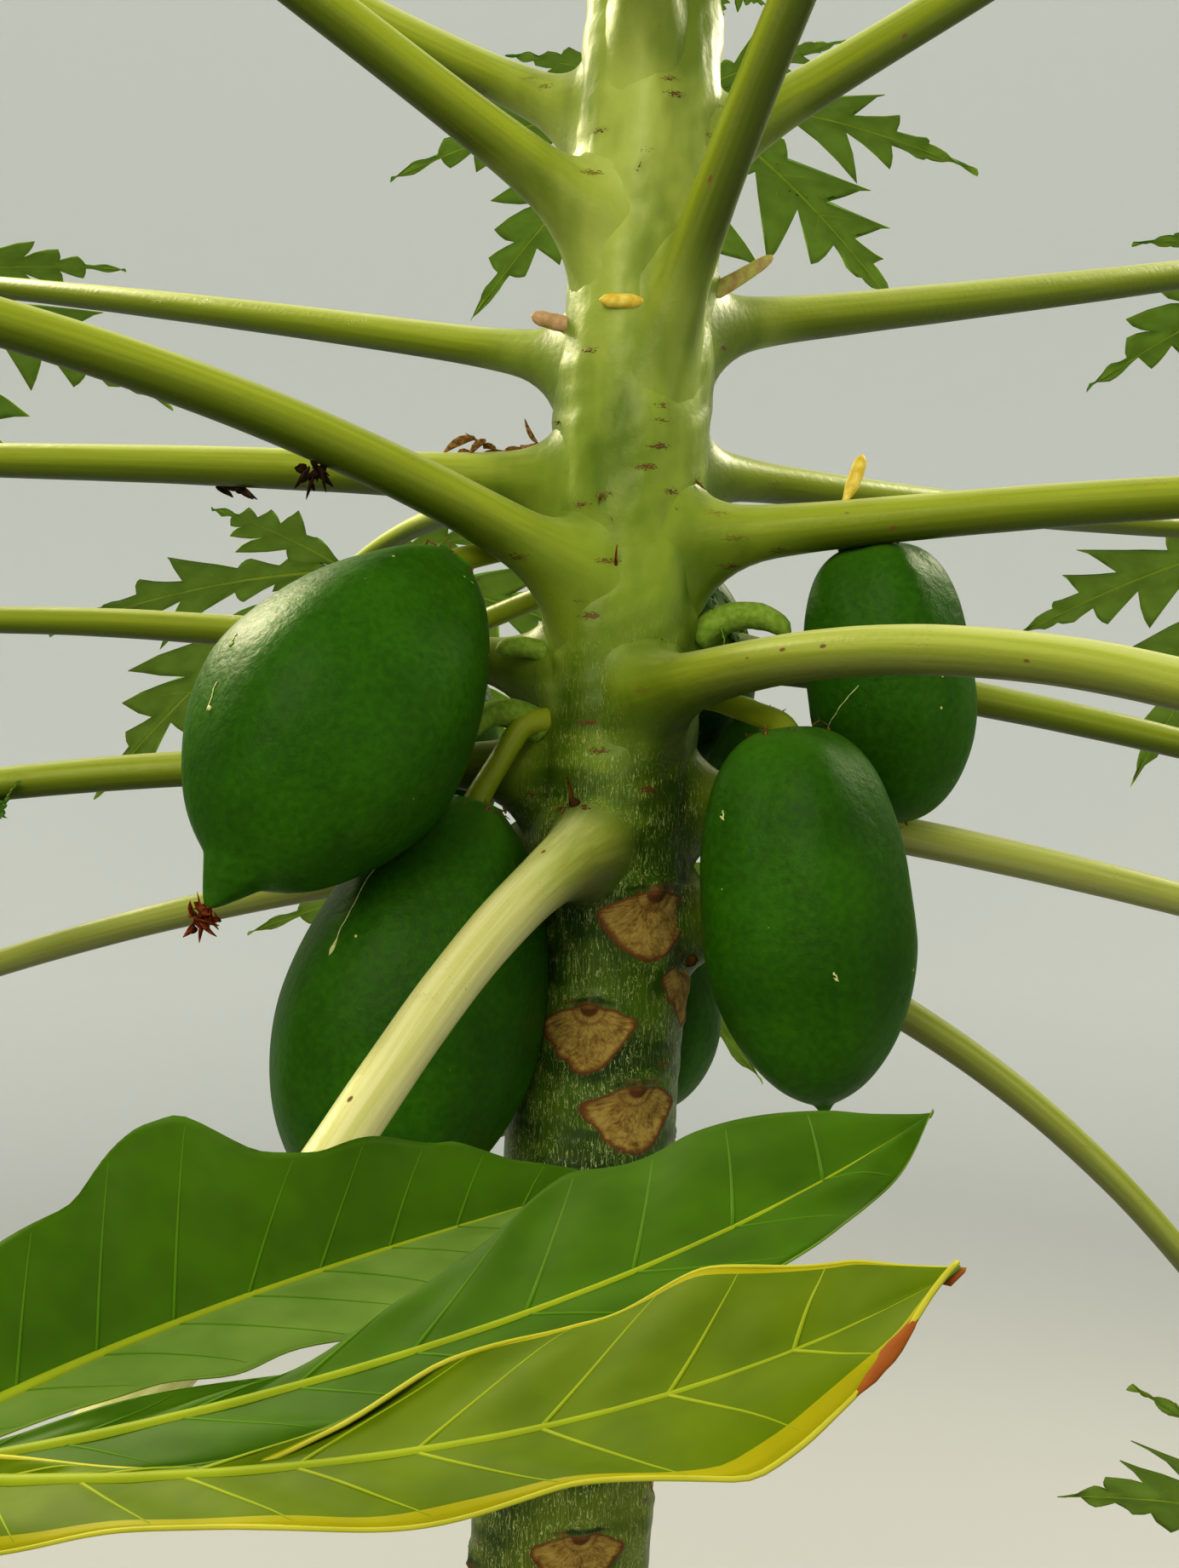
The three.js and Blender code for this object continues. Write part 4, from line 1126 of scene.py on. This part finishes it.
def fruit_shells(fruit, index, around, rows):
    """The fruit, and its own stalk bent down from the trunk into the neck."""
    neck, end, _, down = fruit_axis(fruit)
    part = ((1 - np.cos(math.pi * np.linspace(0, 1, rows + 2)[1:-1])) / 2)[:, None]
    turn = (np.arange(around) * TAU / around)[None]
    part, turn = np.broadcast_arrays(part, turn)
    rings = fruit_place(fruit, index, part, turn)
    necking = np.exp(-part / 0.05) * 0.8 + 0.6 * np.exp(-(1 - part) / 0.015)
    shells = [closed(rings, neck, end, necking=necking)]
    # The stalk's route, rounded by running means
    side, height = np.radians(fruit.side), np.asarray(fruit.foot * MM)
    root, brow = (trunk_place(side, height, sink) for sink in (-STALK_SINK / 2, STALK_SINK / 2))
    route = np.array([root, brow, neck - down * 0.002, neck + down * 0.010])
    knots = (0, 0.2, 0.85, 1) if np.linalg.norm(neck - brow) > 0.05 else (0, 0.35, 0.75, 1)
    t = np.linspace(0, 1, 26)
    path = np.stack([np.interp(t, knots, route[:, k]) for k in range(3)], -1)
    for _ in range(6):
        path[1:-1] = (path[:-2] + 2 * path[1:-1] + path[2:]) / 4
    over = np.broadcast_to(np.array([-math.sin(side), math.cos(side), 0.0]), path.shape)
    swell = PEDUNCLE_RADIUS * (0.82 + 0.35 * np.exp(-t / 0.12) + 0.5 * np.exp(-(1 - t) / 0.12))
    shells.append(tubes(path, swell, 18, over, 1, stalkness=np.ones((1, 26, 18)),
                        upward=np.full((1, 26, 18), 0.1), grain=np.zeros((1, 26, 18, 3))))
    return shells


# Buds, stubs, dried flowers and latex


def on_stalk(index, reach, turn):
    """A place on a leaf stalk's skin, turn in degrees: 0 is level, 90 on top."""
    leaf = LEAVES[index]
    return limb_skin(leaf, foot_of(leaf), np.asarray(reach), np.radians(turn))


def on_trunk(turn, z, out=0.0):
    """A place on the bark, turn in degrees."""
    return trunk_place(np.radians(turn), np.asarray(z), out)


def sprig(base, way, length, root, tip, finish, flat=1.0, fuzz=0.0, bud=False):
    """A short fleshy limb, sunk 2 mm in its carrier: it bends as a stalk does and closes round at its end."""
    start, end, climb, bow, fall = way
    limb = Limb(0, 0, start, end, climb, bow, fall, length, 0)
    reach = np.linspace(0, length, 16)
    path, ahead = walk(limb, np.asarray(base) - bearing(start, climb) * 0.002, reach)
    _, up = sides_of(ahead)
    t = reach / length
    radii = (root + (tip - root) * (smooth(t, 0, 0.45) if bud else t)) * np.sqrt(1 - 0.9 * t ** 9)
    radii = radii * (1 + fuzz * ripple(int(length * 1e5), t * 14))
    return tubes(path, radii[None], 14, up[None], finish, flat=flat)


def flakes(spots, each, size, seed, finish, droop=0.0, along=(0, 0, 0), broad=0.17):
    """Dried scales: flattened strips that leave their spot at random and curl with the square of the way."""
    rng = np.random.default_rng(seed)
    spots = np.repeat(np.asarray(spots, float).reshape(-1, 3), each, axis=0)
    count = len(spots)
    first = rng.normal(size=(count, 3)) - droop * UP
    first = unit(first + np.asarray(along, float) * rng.choice((-1, 1), (count, 1)))
    curl = unit(rng.normal(size=(count, 3)))
    t = np.linspace(0, 1, 6)[None, :, None]
    long = size * rng.uniform(0.5, 1.2, (count, 1, 1))
    begin = spots + rng.normal(size=(count, 3)) * size * 0.25
    path = begin[:, None] + first[:, None] * t * long + curl[:, None] * t ** 2 * long * 0.6
    radii = size * broad * np.sin(math.pi * (0.15 + 0.8 * t[..., 0])) * rng.uniform(0.5, 1.3, (count, 1))
    over = np.broadcast_to(np.cross(curl, first)[:, None], path.shape)
    return tubes(path, radii, 5, over, finish, flat=0.3)


def facing(fruit, towards):
    """The turn round a fruit at which its rind faces a direction."""
    _, _, _, down = fruit_axis(fruit)
    a, b = turned_down(down)
    return math.atan2(float(np.dot(towards, b)), float(np.dot(towards, a)))


def drip(index, parts, turns, thick):
    """A run of dried latex on a fruit's rind between two parts and turns, with a drop at its lower end."""
    fruit = FRUITS[index]
    t = np.linspace(0, 1, 18)
    part = parts[0] + (parts[1] - parts[0]) * t
    turn = facing(fruit, np.array([0.0, -1.0, 0.0])) + np.radians(turns[0] + (turns[1] - turns[0]) * t)
    turn = turn + 0.02 * ripple(index + 3, t * 6)
    path = fruit_place(fruit, index + 1, part, turn, 0.0002)
    over = unit(fruit_place(fruit, index + 1, part, turn, 0.01) - path)
    radii = thick * (0.6 + 0.4 * np.sin(t * 19) ** 2 + 2.6 * bell(t - 0.93, 0.06))
    return tubes(path, radii[None], 6, over[None], 0, flat=0.5)


# Settings and operators


def colour_property(name, words, code):
    """A colour setting with its default from a hex value."""
    return FloatVectorProperty(name=name, description=words, subtype="COLOR", size=3, min=0, max=1,
                               default=linear(code)[:3])


def power_property(name, words, watts):
    """A lamp's power setting."""
    return FloatProperty(name=name, description=words, default=watts, min=0, unit="POWER")


class PapayaSettings(bpy.types.PropertyGroup):
    """Sizes and colours of the papaya tree."""

    trunk_columns: IntProperty(
        name="Trunk columns", description="Faces round the trunk", default=146, min=24, max=160)
    stalk_columns: IntProperty(
        name="Stalk columns", description="Faces round a leaf stalk", default=44, min=12, max=64)
    stalk_side: colour_property("Stalk side", "Skin of the leaf stalks seen from the side", "84911e")
    rind: colour_property("Rind", "Skin of the unripe fruits", "285302")
    floor: colour_property("Floor", "Studio floor and backdrop", "e2e5ea")
    rim_power: power_property("Rim light", "Power of the lights behind the tree", 140)
    key_power: power_property("Key light", "Power of the lights in front of the tree", 38)


class PAPAYA_OT_trunk(bpy.types.Operator):
    """Builds the trunk with its leaf scars"""

    bl_idname = "papaya.trunk"
    bl_label = "Trunk"

    def execute(self, context):
        look = context.scene.papaya
        piece("trunk_bark", [trunk_shell(look.trunk_columns)], [stem_skin(look)], ["trunk"])
        return {"FINISHED"}


class PAPAYA_OT_stalks(bpy.types.Operator):
    """Builds the leaf stalks, melted into the trunk"""

    bl_idname = "papaya.stalks"
    bl_label = "Leaf stalks"

    def execute(self, context):
        look = context.scene.papaya
        # How pale the oldest stalks have turned
        pale = {0: 0.15, 1: 0.2, 2: 0.75, 3: 0.25, 6: 0.1}
        shells = [stalk_shell(leaf, look.stalk_columns, 54, pale.get(i, 0)) for i, leaf in enumerate(LEAVES)]
        nodes = [f"petiole_{i + 1:02d}" for i in range(len(LEAVES))]
        piece("leaf_stalks", shells, [stem_skin(look)], nodes)
        return {"FINISHED"}


# Blades' finishes: the pale and the deep hue of each mottle, and the roughness
LEAF_FINISHES = {
    "lamina_deep": ("2f540e", "264a0a", 0.55), "lamina_grown": ("3a6412", "325a0e", 0.55),
    "lamina_fresh": ("50751e", "486c18", 0.52), "lamina_yellowing": ("566a02", "4b5f02", 0.6),
    # The shaded lamina is painted shade: a darker copy of the lamina for the old leaf
    "lamina_young": ("728f34", "68842c", 0.45), "lamina_shaded": ("3c5e04", "345404", 0.6),
    # The paler grey-green for half of one old-leaf lobe is a painted sheen
    "lamina_bright": ("908c0c", "878408", 0.55), "lamina_bloomed": ("66803a", "5a7630", 0.5),
    "underside_matt": ("7c9a42", "718d39", 0.65), "vein_pale": ("94aa3e", "889e34", 0.5),
    "vein_dull": ("86941e", "7c8a1a", 0.55), "vein_soft": ("4c7212", "456a0e", 0.6),
    "margin_yellow": ("a9a63a", "9c9c30", 0.5), "margin_scorched": ("8f5426", "6f3a18", 0.7),
}


def leaf_finishes(*names):
    """The named finishes of blades and veins."""
    made = []
    for name in names:
        code, deeper, roughness = LEAF_FINISHES[name]
        made.append(plain_skin("papaya_" + name, code, roughness, deeper, 45.0))
    return made


def hub_of(leaf, foot, past=HUB_REACH):
    """Where a blade's ribs meet, on past its stalk's end."""
    place, _ = walk(leaf, foot, np.array(leaf.length + past))
    return place


class PAPAYA_OT_blades(bpy.types.Operator):
    """Builds the grown leaves' blades in three groups"""

    bl_idname = "papaya.blades"
    bl_label = "Blades"

    def execute(self, context):
        finishes = leaf_finishes("lamina_deep", "lamina_grown", "lamina_fresh", "lamina_yellowing",
                                 "underside_matt", "vein_pale")
        groups = {"low": range(0, 8), "middle": range(8, 15), "high": range(15, 22)}
        rng = np.random.default_rng(21)
        for name, members in groups.items():
            shells, nodes = [], []
            for i in members:
                age = rng.uniform(0, 1) + (i - 10) * 0.03
                lamina = 3 if i == 0 else 0 if age < 0.3 else 1 if age < 0.8 else 2
                if i == OLD_LEAF:
                    continue
                leaf = LEAVES[i]
                shells += leaf_shells(leaf, hub_of(leaf, foot_of(leaf)), 100 + i, 3, 5, (lamina, 4, 5))
                nodes.append(f"leaf_{i + 1:02d}")
            piece("leaf_blades_" + name, shells, finishes, nodes)
        return {"FINISHED"}


class PAPAYA_OT_old_leaf(bpy.types.Operator):
    """Builds the old leaf whose lobes have curled apart"""

    bl_idname = "papaya.old_leaf"
    bl_label = "Old leaf"

    def execute(self, context):
        finishes = leaf_finishes("lamina_shaded", "lamina_yellowing", "underside_matt", "vein_dull",
                                 "margin_yellow", "margin_scorched", "lamina_bright", "lamina_bloomed",
                                 "vein_soft")
        leaf = LEAVES[OLD_LEAF]
        shells = old_leaf_shells(leaf, hub_of(leaf, foot_of(leaf)), range(len(finishes)))
        piece("leaf_blade_old", shells, finishes, ["leaf_03"])
        return {"FINISHED"}


class PAPAYA_OT_tuft(bpy.types.Operator):
    """Builds the growing tip with its young leaves"""

    bl_idname = "papaya.tuft"
    bl_label = "Crown tuft"

    def execute(self, context):
        finishes = leaf_finishes("lamina_young", "underside_matt", "vein_pale")
        seat = trunk_axis(TRUNK_HEIGHT) + SEAT * UP
        shells = []
        for i, leaf in enumerate(YOUNG_LEAVES):
            foot = np.array([seat[0], seat[1], leaf.height]) + bearing(leaf.side, 0) * TUFT_SINK
            reach = np.linspace(0, leaf.length + 0.004, 34)
            path, ahead = walk(leaf, foot, reach)
            _, up = sides_of(ahead)
            shells.append(tubes(path, limb_girth(leaf, reach)[None], 16, up[None], 2))
            hub = hub_of(leaf, foot, -TUFT_SINK)
            shells += leaf_shells(leaf, hub, 300 + i, 3, 5, (0, 1, 2), 0.12 + 0.06 * i)
        # The growing tip: a stub that narrows, with five pleats that deepen upwards
        rise, wide = np.array([(0.0, 0.0142), (0.012, 0.0145), (0.036, 0.014), (0.055, 0.0105),
                               (0.072, 0.007), (0.084, 0.003)]).T[..., None]
        turn = np.arange(24) * TAU / 24
        pleat = 1 + 0.1 * np.cos(5 * turn) * rise / 0.084
        out = (wide * pleat)[..., None] * np.stack([np.cos(turn), np.sin(turn), 0 * turn], -1)
        shells.append(closed(seat + out + rise[..., None] * UP, seat, seat + 0.09 * UP, 2))
        piece("crown_tuft_leaves", shells, finishes, ["crown_tuft"])
        return {"FINISHED"}


class PAPAYA_OT_fruits(bpy.types.Operator):
    """Builds the green fruits on their short stalks"""

    bl_idname = "papaya.fruits"
    bl_label = "Fruits"

    def execute(self, context):
        look = context.scene.papaya
        shells = []
        for i, fruit in enumerate(FRUITS):
            around, rows = (96, 104) if i < FRONT_FRUITS else (60, 70)
            shells += fruit_shells(fruit, i + 1, around, rows)
        nodes = [f"fruit_{i + 1:02d}" for i in range(len(FRUITS))]
        piece("fruits", shells, [fruit_skin(look), stem_skin(look)], nodes)
        return {"FINISHED"}


class PAPAYA_OT_trimmings(bpy.types.Operator):
    """Builds flower buds, fruit stalk stubs, small shoots, dried scales and latex"""

    bl_idname = "papaya.trimmings"
    bl_label = "Buds, stubs and scales"

    def execute(self, context):
        # Base, way, length, thickness at the root and the tip, finish, flatness, unevenness and whether a bud
        rows = (
            (on_trunk(-86, 1.7205), (192, 184, -2, 0, 2), 0.028, 0.0018, 0.0042, 1, 1, 0, True),
            (on_stalk(10, 0.112, 96), (30, 18, 58, 66, 74), 0.03, 0.0018, 0.0042, 1, 1, 0, True),
            (on_trunk(-12, 1.536), (-12, -18, 42, 12, -52), 0.06, 0.0105, 0.0078, 0, 0.9, 0.05),
            (on_trunk(-56, 1.5145), (-26, -12, 16, 6, -14), 0.056, 0.0075, 0.0045, 0, 0.8, 0),
            (on_trunk(-163, 1.482), (196, 214, 40, 14, -78), 0.056, 0.011, 0.0075, 0, 0.9, 0.06),
            (on_trunk(-168, 1.526), (188, 192, 24, 8, -24), 0.03, 0.0075, 0.006, 0, 0.9, 0.05),
            (on_trunk(0, 1.737), (-6, 4, 26, 32, 34), 0.042, 0.0052, 0.0036, 4, 1, 0.05),
            (on_trunk(186, 1.717), (186, 176, 8, 14, 20), 0.022, 0.0052, 0.0042, 2, 1, 0.05),
            (on_trunk(200, 1.8), (176, 168, 34, 40, 40), 0.016, 0.003, 0.0022, 1, 1, 0),
            (on_trunk(-11, 1.3485), (-11, -11, 6, 0, 0), 0.01, 0.0042, 0.0038, 3, 1, 0.1),
            (on_trunk(-116, 1.4375), (-116, -116, 30, 40, 50), 0.008, 0.0042, 0.0028, 3, 0.8, 0.1),
            (on_trunk(88, 1.66), (84, 80, 20, 26, 30), 0.03, 0.004, 0.003, 1, 1, 0),
            (on_trunk(120, 1.69), (126, 130, 10, 14, 20), 0.026, 0.0048, 0.0036, 2, 1, 0.05),
            (on_trunk(60, 1.44), (60, 66, 20, 0, -30), 0.036, 0.007, 0.0055, 0, 0.9, 0.05),
            (on_trunk(150, 1.62), (150, 156, 34, 30, 26), 0.028, 0.0038, 0.003, 1, 1, 0))
        finishes = [plain_skin(*row) for row in (
            ("papaya_stub_downy", "7f9a3e", 0.6, "6a8630", 300.0),
            ("papaya_bud_cream", "dcc86c", 0.45, "c8ac3e", 200.0),
            ("papaya_stub_blushed", "c4a080", 0.55, "a88a62", 200.0),
            ("papaya_bud_corky", "4a3218", 0.8, "35230f", 300.0),
            ("papaya_stub_fading", "bcb86c", 0.55, "b0906a", 200.0))]
        piece("flower_buds_and_stubs", [sprig(*row) for row in rows], finishes)

        # Spots, scales at each, size, seed, finish, droop, a way they favour and breadth
        creases = [on_trunk(leaf.side + 14 * (-1) ** i, leaf.height + leaf.half + 0.021, 0.0006)
                   for i, leaf in enumerate(LEAVES)]
        rows = [
            (creases, 4, 0.0042, 61, 0),
            ([on_trunk(-112, 1.612, 0.0004), on_trunk(-106, 1.6, 0.0004)], 5, 0.0045, 62, 0, 1.0),
            ([on_stalk(12, reach, 92) for reach in (0.042, 0.054, 0.066, 0.078)], 4, 0.017, 63, 0, 0.0,
             (4, 0, 0), 0.2),
            ([on_stalk(12, reach, 262) for reach in (0.232, 0.246)], 5, 0.009, 64, 2, 0.6, (2, 0, 0), 0.3),
            ([on_stalk(9, 0.186, 262), on_stalk(9, 0.19, 262) - 0.006 * UP], 6, 0.012, 65, 2, 2.0,
             (0, 0, 0), 0.3),
            ([on_trunk(-114, 1.4375, 0.004), on_trunk(-108, 1.4365, 0.003), on_trunk(-122, 1.4365, 0.003)], 7,
             0.006, 66, 0, 0.2)]
        for index, fruit in enumerate(FRUITS):
            _, end, _, down = fruit_axis(fruit)
            collar = fruit_place(fruit, index + 1, np.full(9, 0.012), np.arange(9) * TAU / 9, 0.0005)
            rows.append((collar, 3, 0.0055, 70 + index, 0))
            if index == 0:
                flower = [end + down * step for step in (0, 0.004, 0.008)]
                rows.append((flower, 12, 0.0085, 90, 1, 1.2, (0, 0, 0), 0.26))
            else:
                rows.append(([end], 5, 0.004, 91 + index, 0, 1.0))
        shells = [flakes(*row) for row in rows]
        # Dried threads
        shells += [sprig(*row, 0.0009, 0.00036, 1) for row in (
            (on_trunk(-163, 1.474, 0.012), (215, 250, -40, -80, -30), 0.03),
            (on_trunk(-119, 1.443, 0.002), (-110, -140, 60, 80, 60), 0.016),
            (on_trunk(-98, 1.574, 0.002), (-100, -60, 40, 80, 70), 0.012))]
        finishes = [plain_skin(*row) for row in (
            ("papaya_scale_dried", "87683c", 0.85, "543a1c", 500.0),
            ("papaya_flower_withered", "7c3c1c", 0.8, "45200e", 500.0),
            ("papaya_scale_blackened", "3c2a1c", 0.85, "1f150e", 300.0))]
        piece("dried_scales", shells, finishes)

        shells = [drip(*row) for row in (
            (1, (0.2, 0.42), (-44, -40), 0.0005), (3, (0.5, 0.66), (-30, -64), 0.0004),
            (0, (0.62, 0.68), (-58, -58), 0.0006), (2, (0.62, 0.64), (6, 7), 0.0006),
            (2, (0.2, 0.22), (-52, -52), 0.0007), (0, (0.5, 0.53), (-62, -61), 0.0006))]
        milk = plain_skin("papaya_latex_dried", "cfcf9a", 0.3, "a9b070", 400.0)
        piece("latex_runs", shells, [milk])

        # Small shoots: base, bearing, nod and blade length
        shells = []
        for index, (base, turn, nod, size) in enumerate((
                (on_trunk(16, 1.566, 0.004), -20, 50, 0.055), (on_stalk(4, 0.33, 268), 200, 62, 0.055),
                (on_trunk(140, 1.64, 0.003), 140, -24, 0.045), (on_trunk(-30, 1.905, 0.003), -30, -40, 0.06),
                (on_trunk(210, 1.93, 0.003), 210, -44, 0.06))):
            shoot = Limb(0, 0, 0, 0, 0, 0, 0, 0.01, 0.001, size, turn, nod)
            hub = base + bearing(turn, -nod) * 0.004
            shells += leaf_shells(shoot, hub, 400 + index, 2, 3, (0, 1, 2), 0.2)
        finishes = leaf_finishes("lamina_grown", "underside_matt", "vein_pale")
        piece("axil_shoots", shells, finishes)
        return {"FINISHED"}


class PAPAYA_OT_stage(bpy.types.Operator):
    """Builds the studio floor that curves up all round, the lights and the camera"""

    bl_idname = "papaya.stage"
    bl_label = "Stage"

    def execute(self, context):
        look = context.scene.papaya
        scene = context.scene
        # A bowl of revolution: level floor, a quarter round and an upright wall
        bend = np.linspace(0, math.pi / 2, 16)[1:]
        out = np.concatenate([np.linspace(0.5, FLOOR_FLAT, 6), FLOOR_FLAT + FLOOR_BEND * np.sin(bend),
                              [FLOOR_FLAT + FLOOR_BEND]])[:, None]
        up = np.concatenate([np.zeros(6), FLOOR_BEND - FLOOR_BEND * np.cos(bend), [WALL_HEIGHT]])[:, None]
        turn = np.arange(96) * TAU / 96
        rings = np.stack([out * np.cos(turn), out * np.sin(turn), up - 0.0005 + 0 * turn], -1)
        quads = ring_quads(len(out), len(turn))[:, ::-1]
        mesh = bpy.data.meshes.new("studio_floor")
        mesh.from_pydata(rings.reshape(-1, 3).tolist(), [], quads.tolist() + [list(range(len(turn)))])
        mesh.polygons.foreach_set("use_smooth", np.ones(len(mesh.polygons), bool))
        material, tree, shader = new_material("studio_paper_matt")
        # Greyer paper under the lamps and paler at the wall, so that the stage reads as one even tone
        at = add(tree, "TexCoord", out="Object")
        flat = add(tree, "VectorMath", [at, (1.0, 1.0, 0.0)], operation="MULTIPLY")
        away = add(tree, "VectorMath", [flat], out="Value", operation="LENGTH")
        away = add(tree, "MapRange", [away, 1.0, 8.0])
        paper = add(tree, "Mix", {0: away, 6: "85878c", 7: rgba(look.floor)}, out=2, data_type="RGBA")
        fill(shader, {"Base Color": paper, "Roughness": 0.95, "Specular IOR Level": 0.1})
        mesh.materials.append(material)
        floor = bpy.data.objects.new("studio_floor", mesh)
        scene.collection.objects.link(floor)

        world = bpy.data.worlds.new("studio_sky")
        world.use_nodes = True
        fill(world.node_tree.nodes["Background"], {"Color": "f2f0dc", "Strength": 0.9})
        scene.world = world

        for name, place, size, power, code in (
                ("rim_left", (-1.9, 1.9, 3.3), 0.9, look.rim_power, "fff3cc"),
                ("rim_right", (2.3, 1.9, 3.1), 0.9, look.rim_power * 0.8, "fff6d8"),
                ("key_front", (-0.7, -2.2, 2.7), 1.4, look.key_power, "fff6dc"),
                ("fill_right", (2.4, -1.6, 1.4), 1.6, look.key_power * 0.25, "fbf8d8")):
            light = bpy.data.lights.new(name, "AREA")
            light.size = size
            light.energy = power
            light.color = linear(code)[:3]
            lamp = bpy.data.objects.new(name, light)
            towards = unit(LAMP_AIM - np.array(place))
            lamp.location = place
            flat = math.hypot(towards[0], towards[1])
            lamp.rotation_euler = (math.atan2(flat, -towards[2]), 0, math.atan2(-towards[0], towards[1]))
            lamp.visible_camera = False
            scene.collection.objects.link(lamp)

        camera = bpy.data.cameras.new("photo_view")
        camera.lens = CAMERA_LENS
        camera.sensor_width = 36
        camera.clip_start = 0.02
        eye = bpy.data.objects.new("photo_view", camera)
        eye.location = CAMERA_PLACE
        eye.rotation_euler = (math.pi / 2, 0, 0)
        scene.collection.objects.link(eye)
        scene.camera = eye
        scene.view_settings.view_transform = "Standard"
        scene.view_settings.look = "Medium High Contrast"
        return {"FINISHED"}


class PAPAYA_PT_panel(bpy.types.Panel):
    """Lists the papaya tree's pieces and settings"""

    bl_idname = "PAPAYA_PT_panel"
    bl_label = "Papaya tree"
    bl_space_type = "VIEW_3D"
    bl_region_type = "UI"
    bl_category = "Papaya"

    def draw(self, context):
        for operator in OPERATORS:
            self.layout.operator(operator.bl_idname)
        for key in PapayaSettings.__annotations__:
            self.layout.prop(context.scene.papaya, key)


OPERATORS = (PAPAYA_OT_stage, PAPAYA_OT_trunk, PAPAYA_OT_stalks, PAPAYA_OT_blades, PAPAYA_OT_old_leaf,
             PAPAYA_OT_tuft, PAPAYA_OT_fruits, PAPAYA_OT_trimmings)
CLASSES = (PapayaSettings, *OPERATORS, PAPAYA_PT_panel)


def register():
    """Registers the classes and the scene's settings."""
    for cls in CLASSES:
        bpy.utils.register_class(cls)
    bpy.types.Scene.papaya = PointerProperty(type=PapayaSettings)


def unregister():
    """Removes the settings and the classes again."""
    del bpy.types.Scene.papaya
    for cls in reversed(CLASSES):
        bpy.utils.unregister_class(cls)


def main():
    """Builds the stage and every piece."""
    register()
    for operator in OPERATORS:
        group, name = operator.bl_idname.split(".")
        getattr(getattr(bpy.ops, group), name)()


if __name__ == "__main__":
    main()
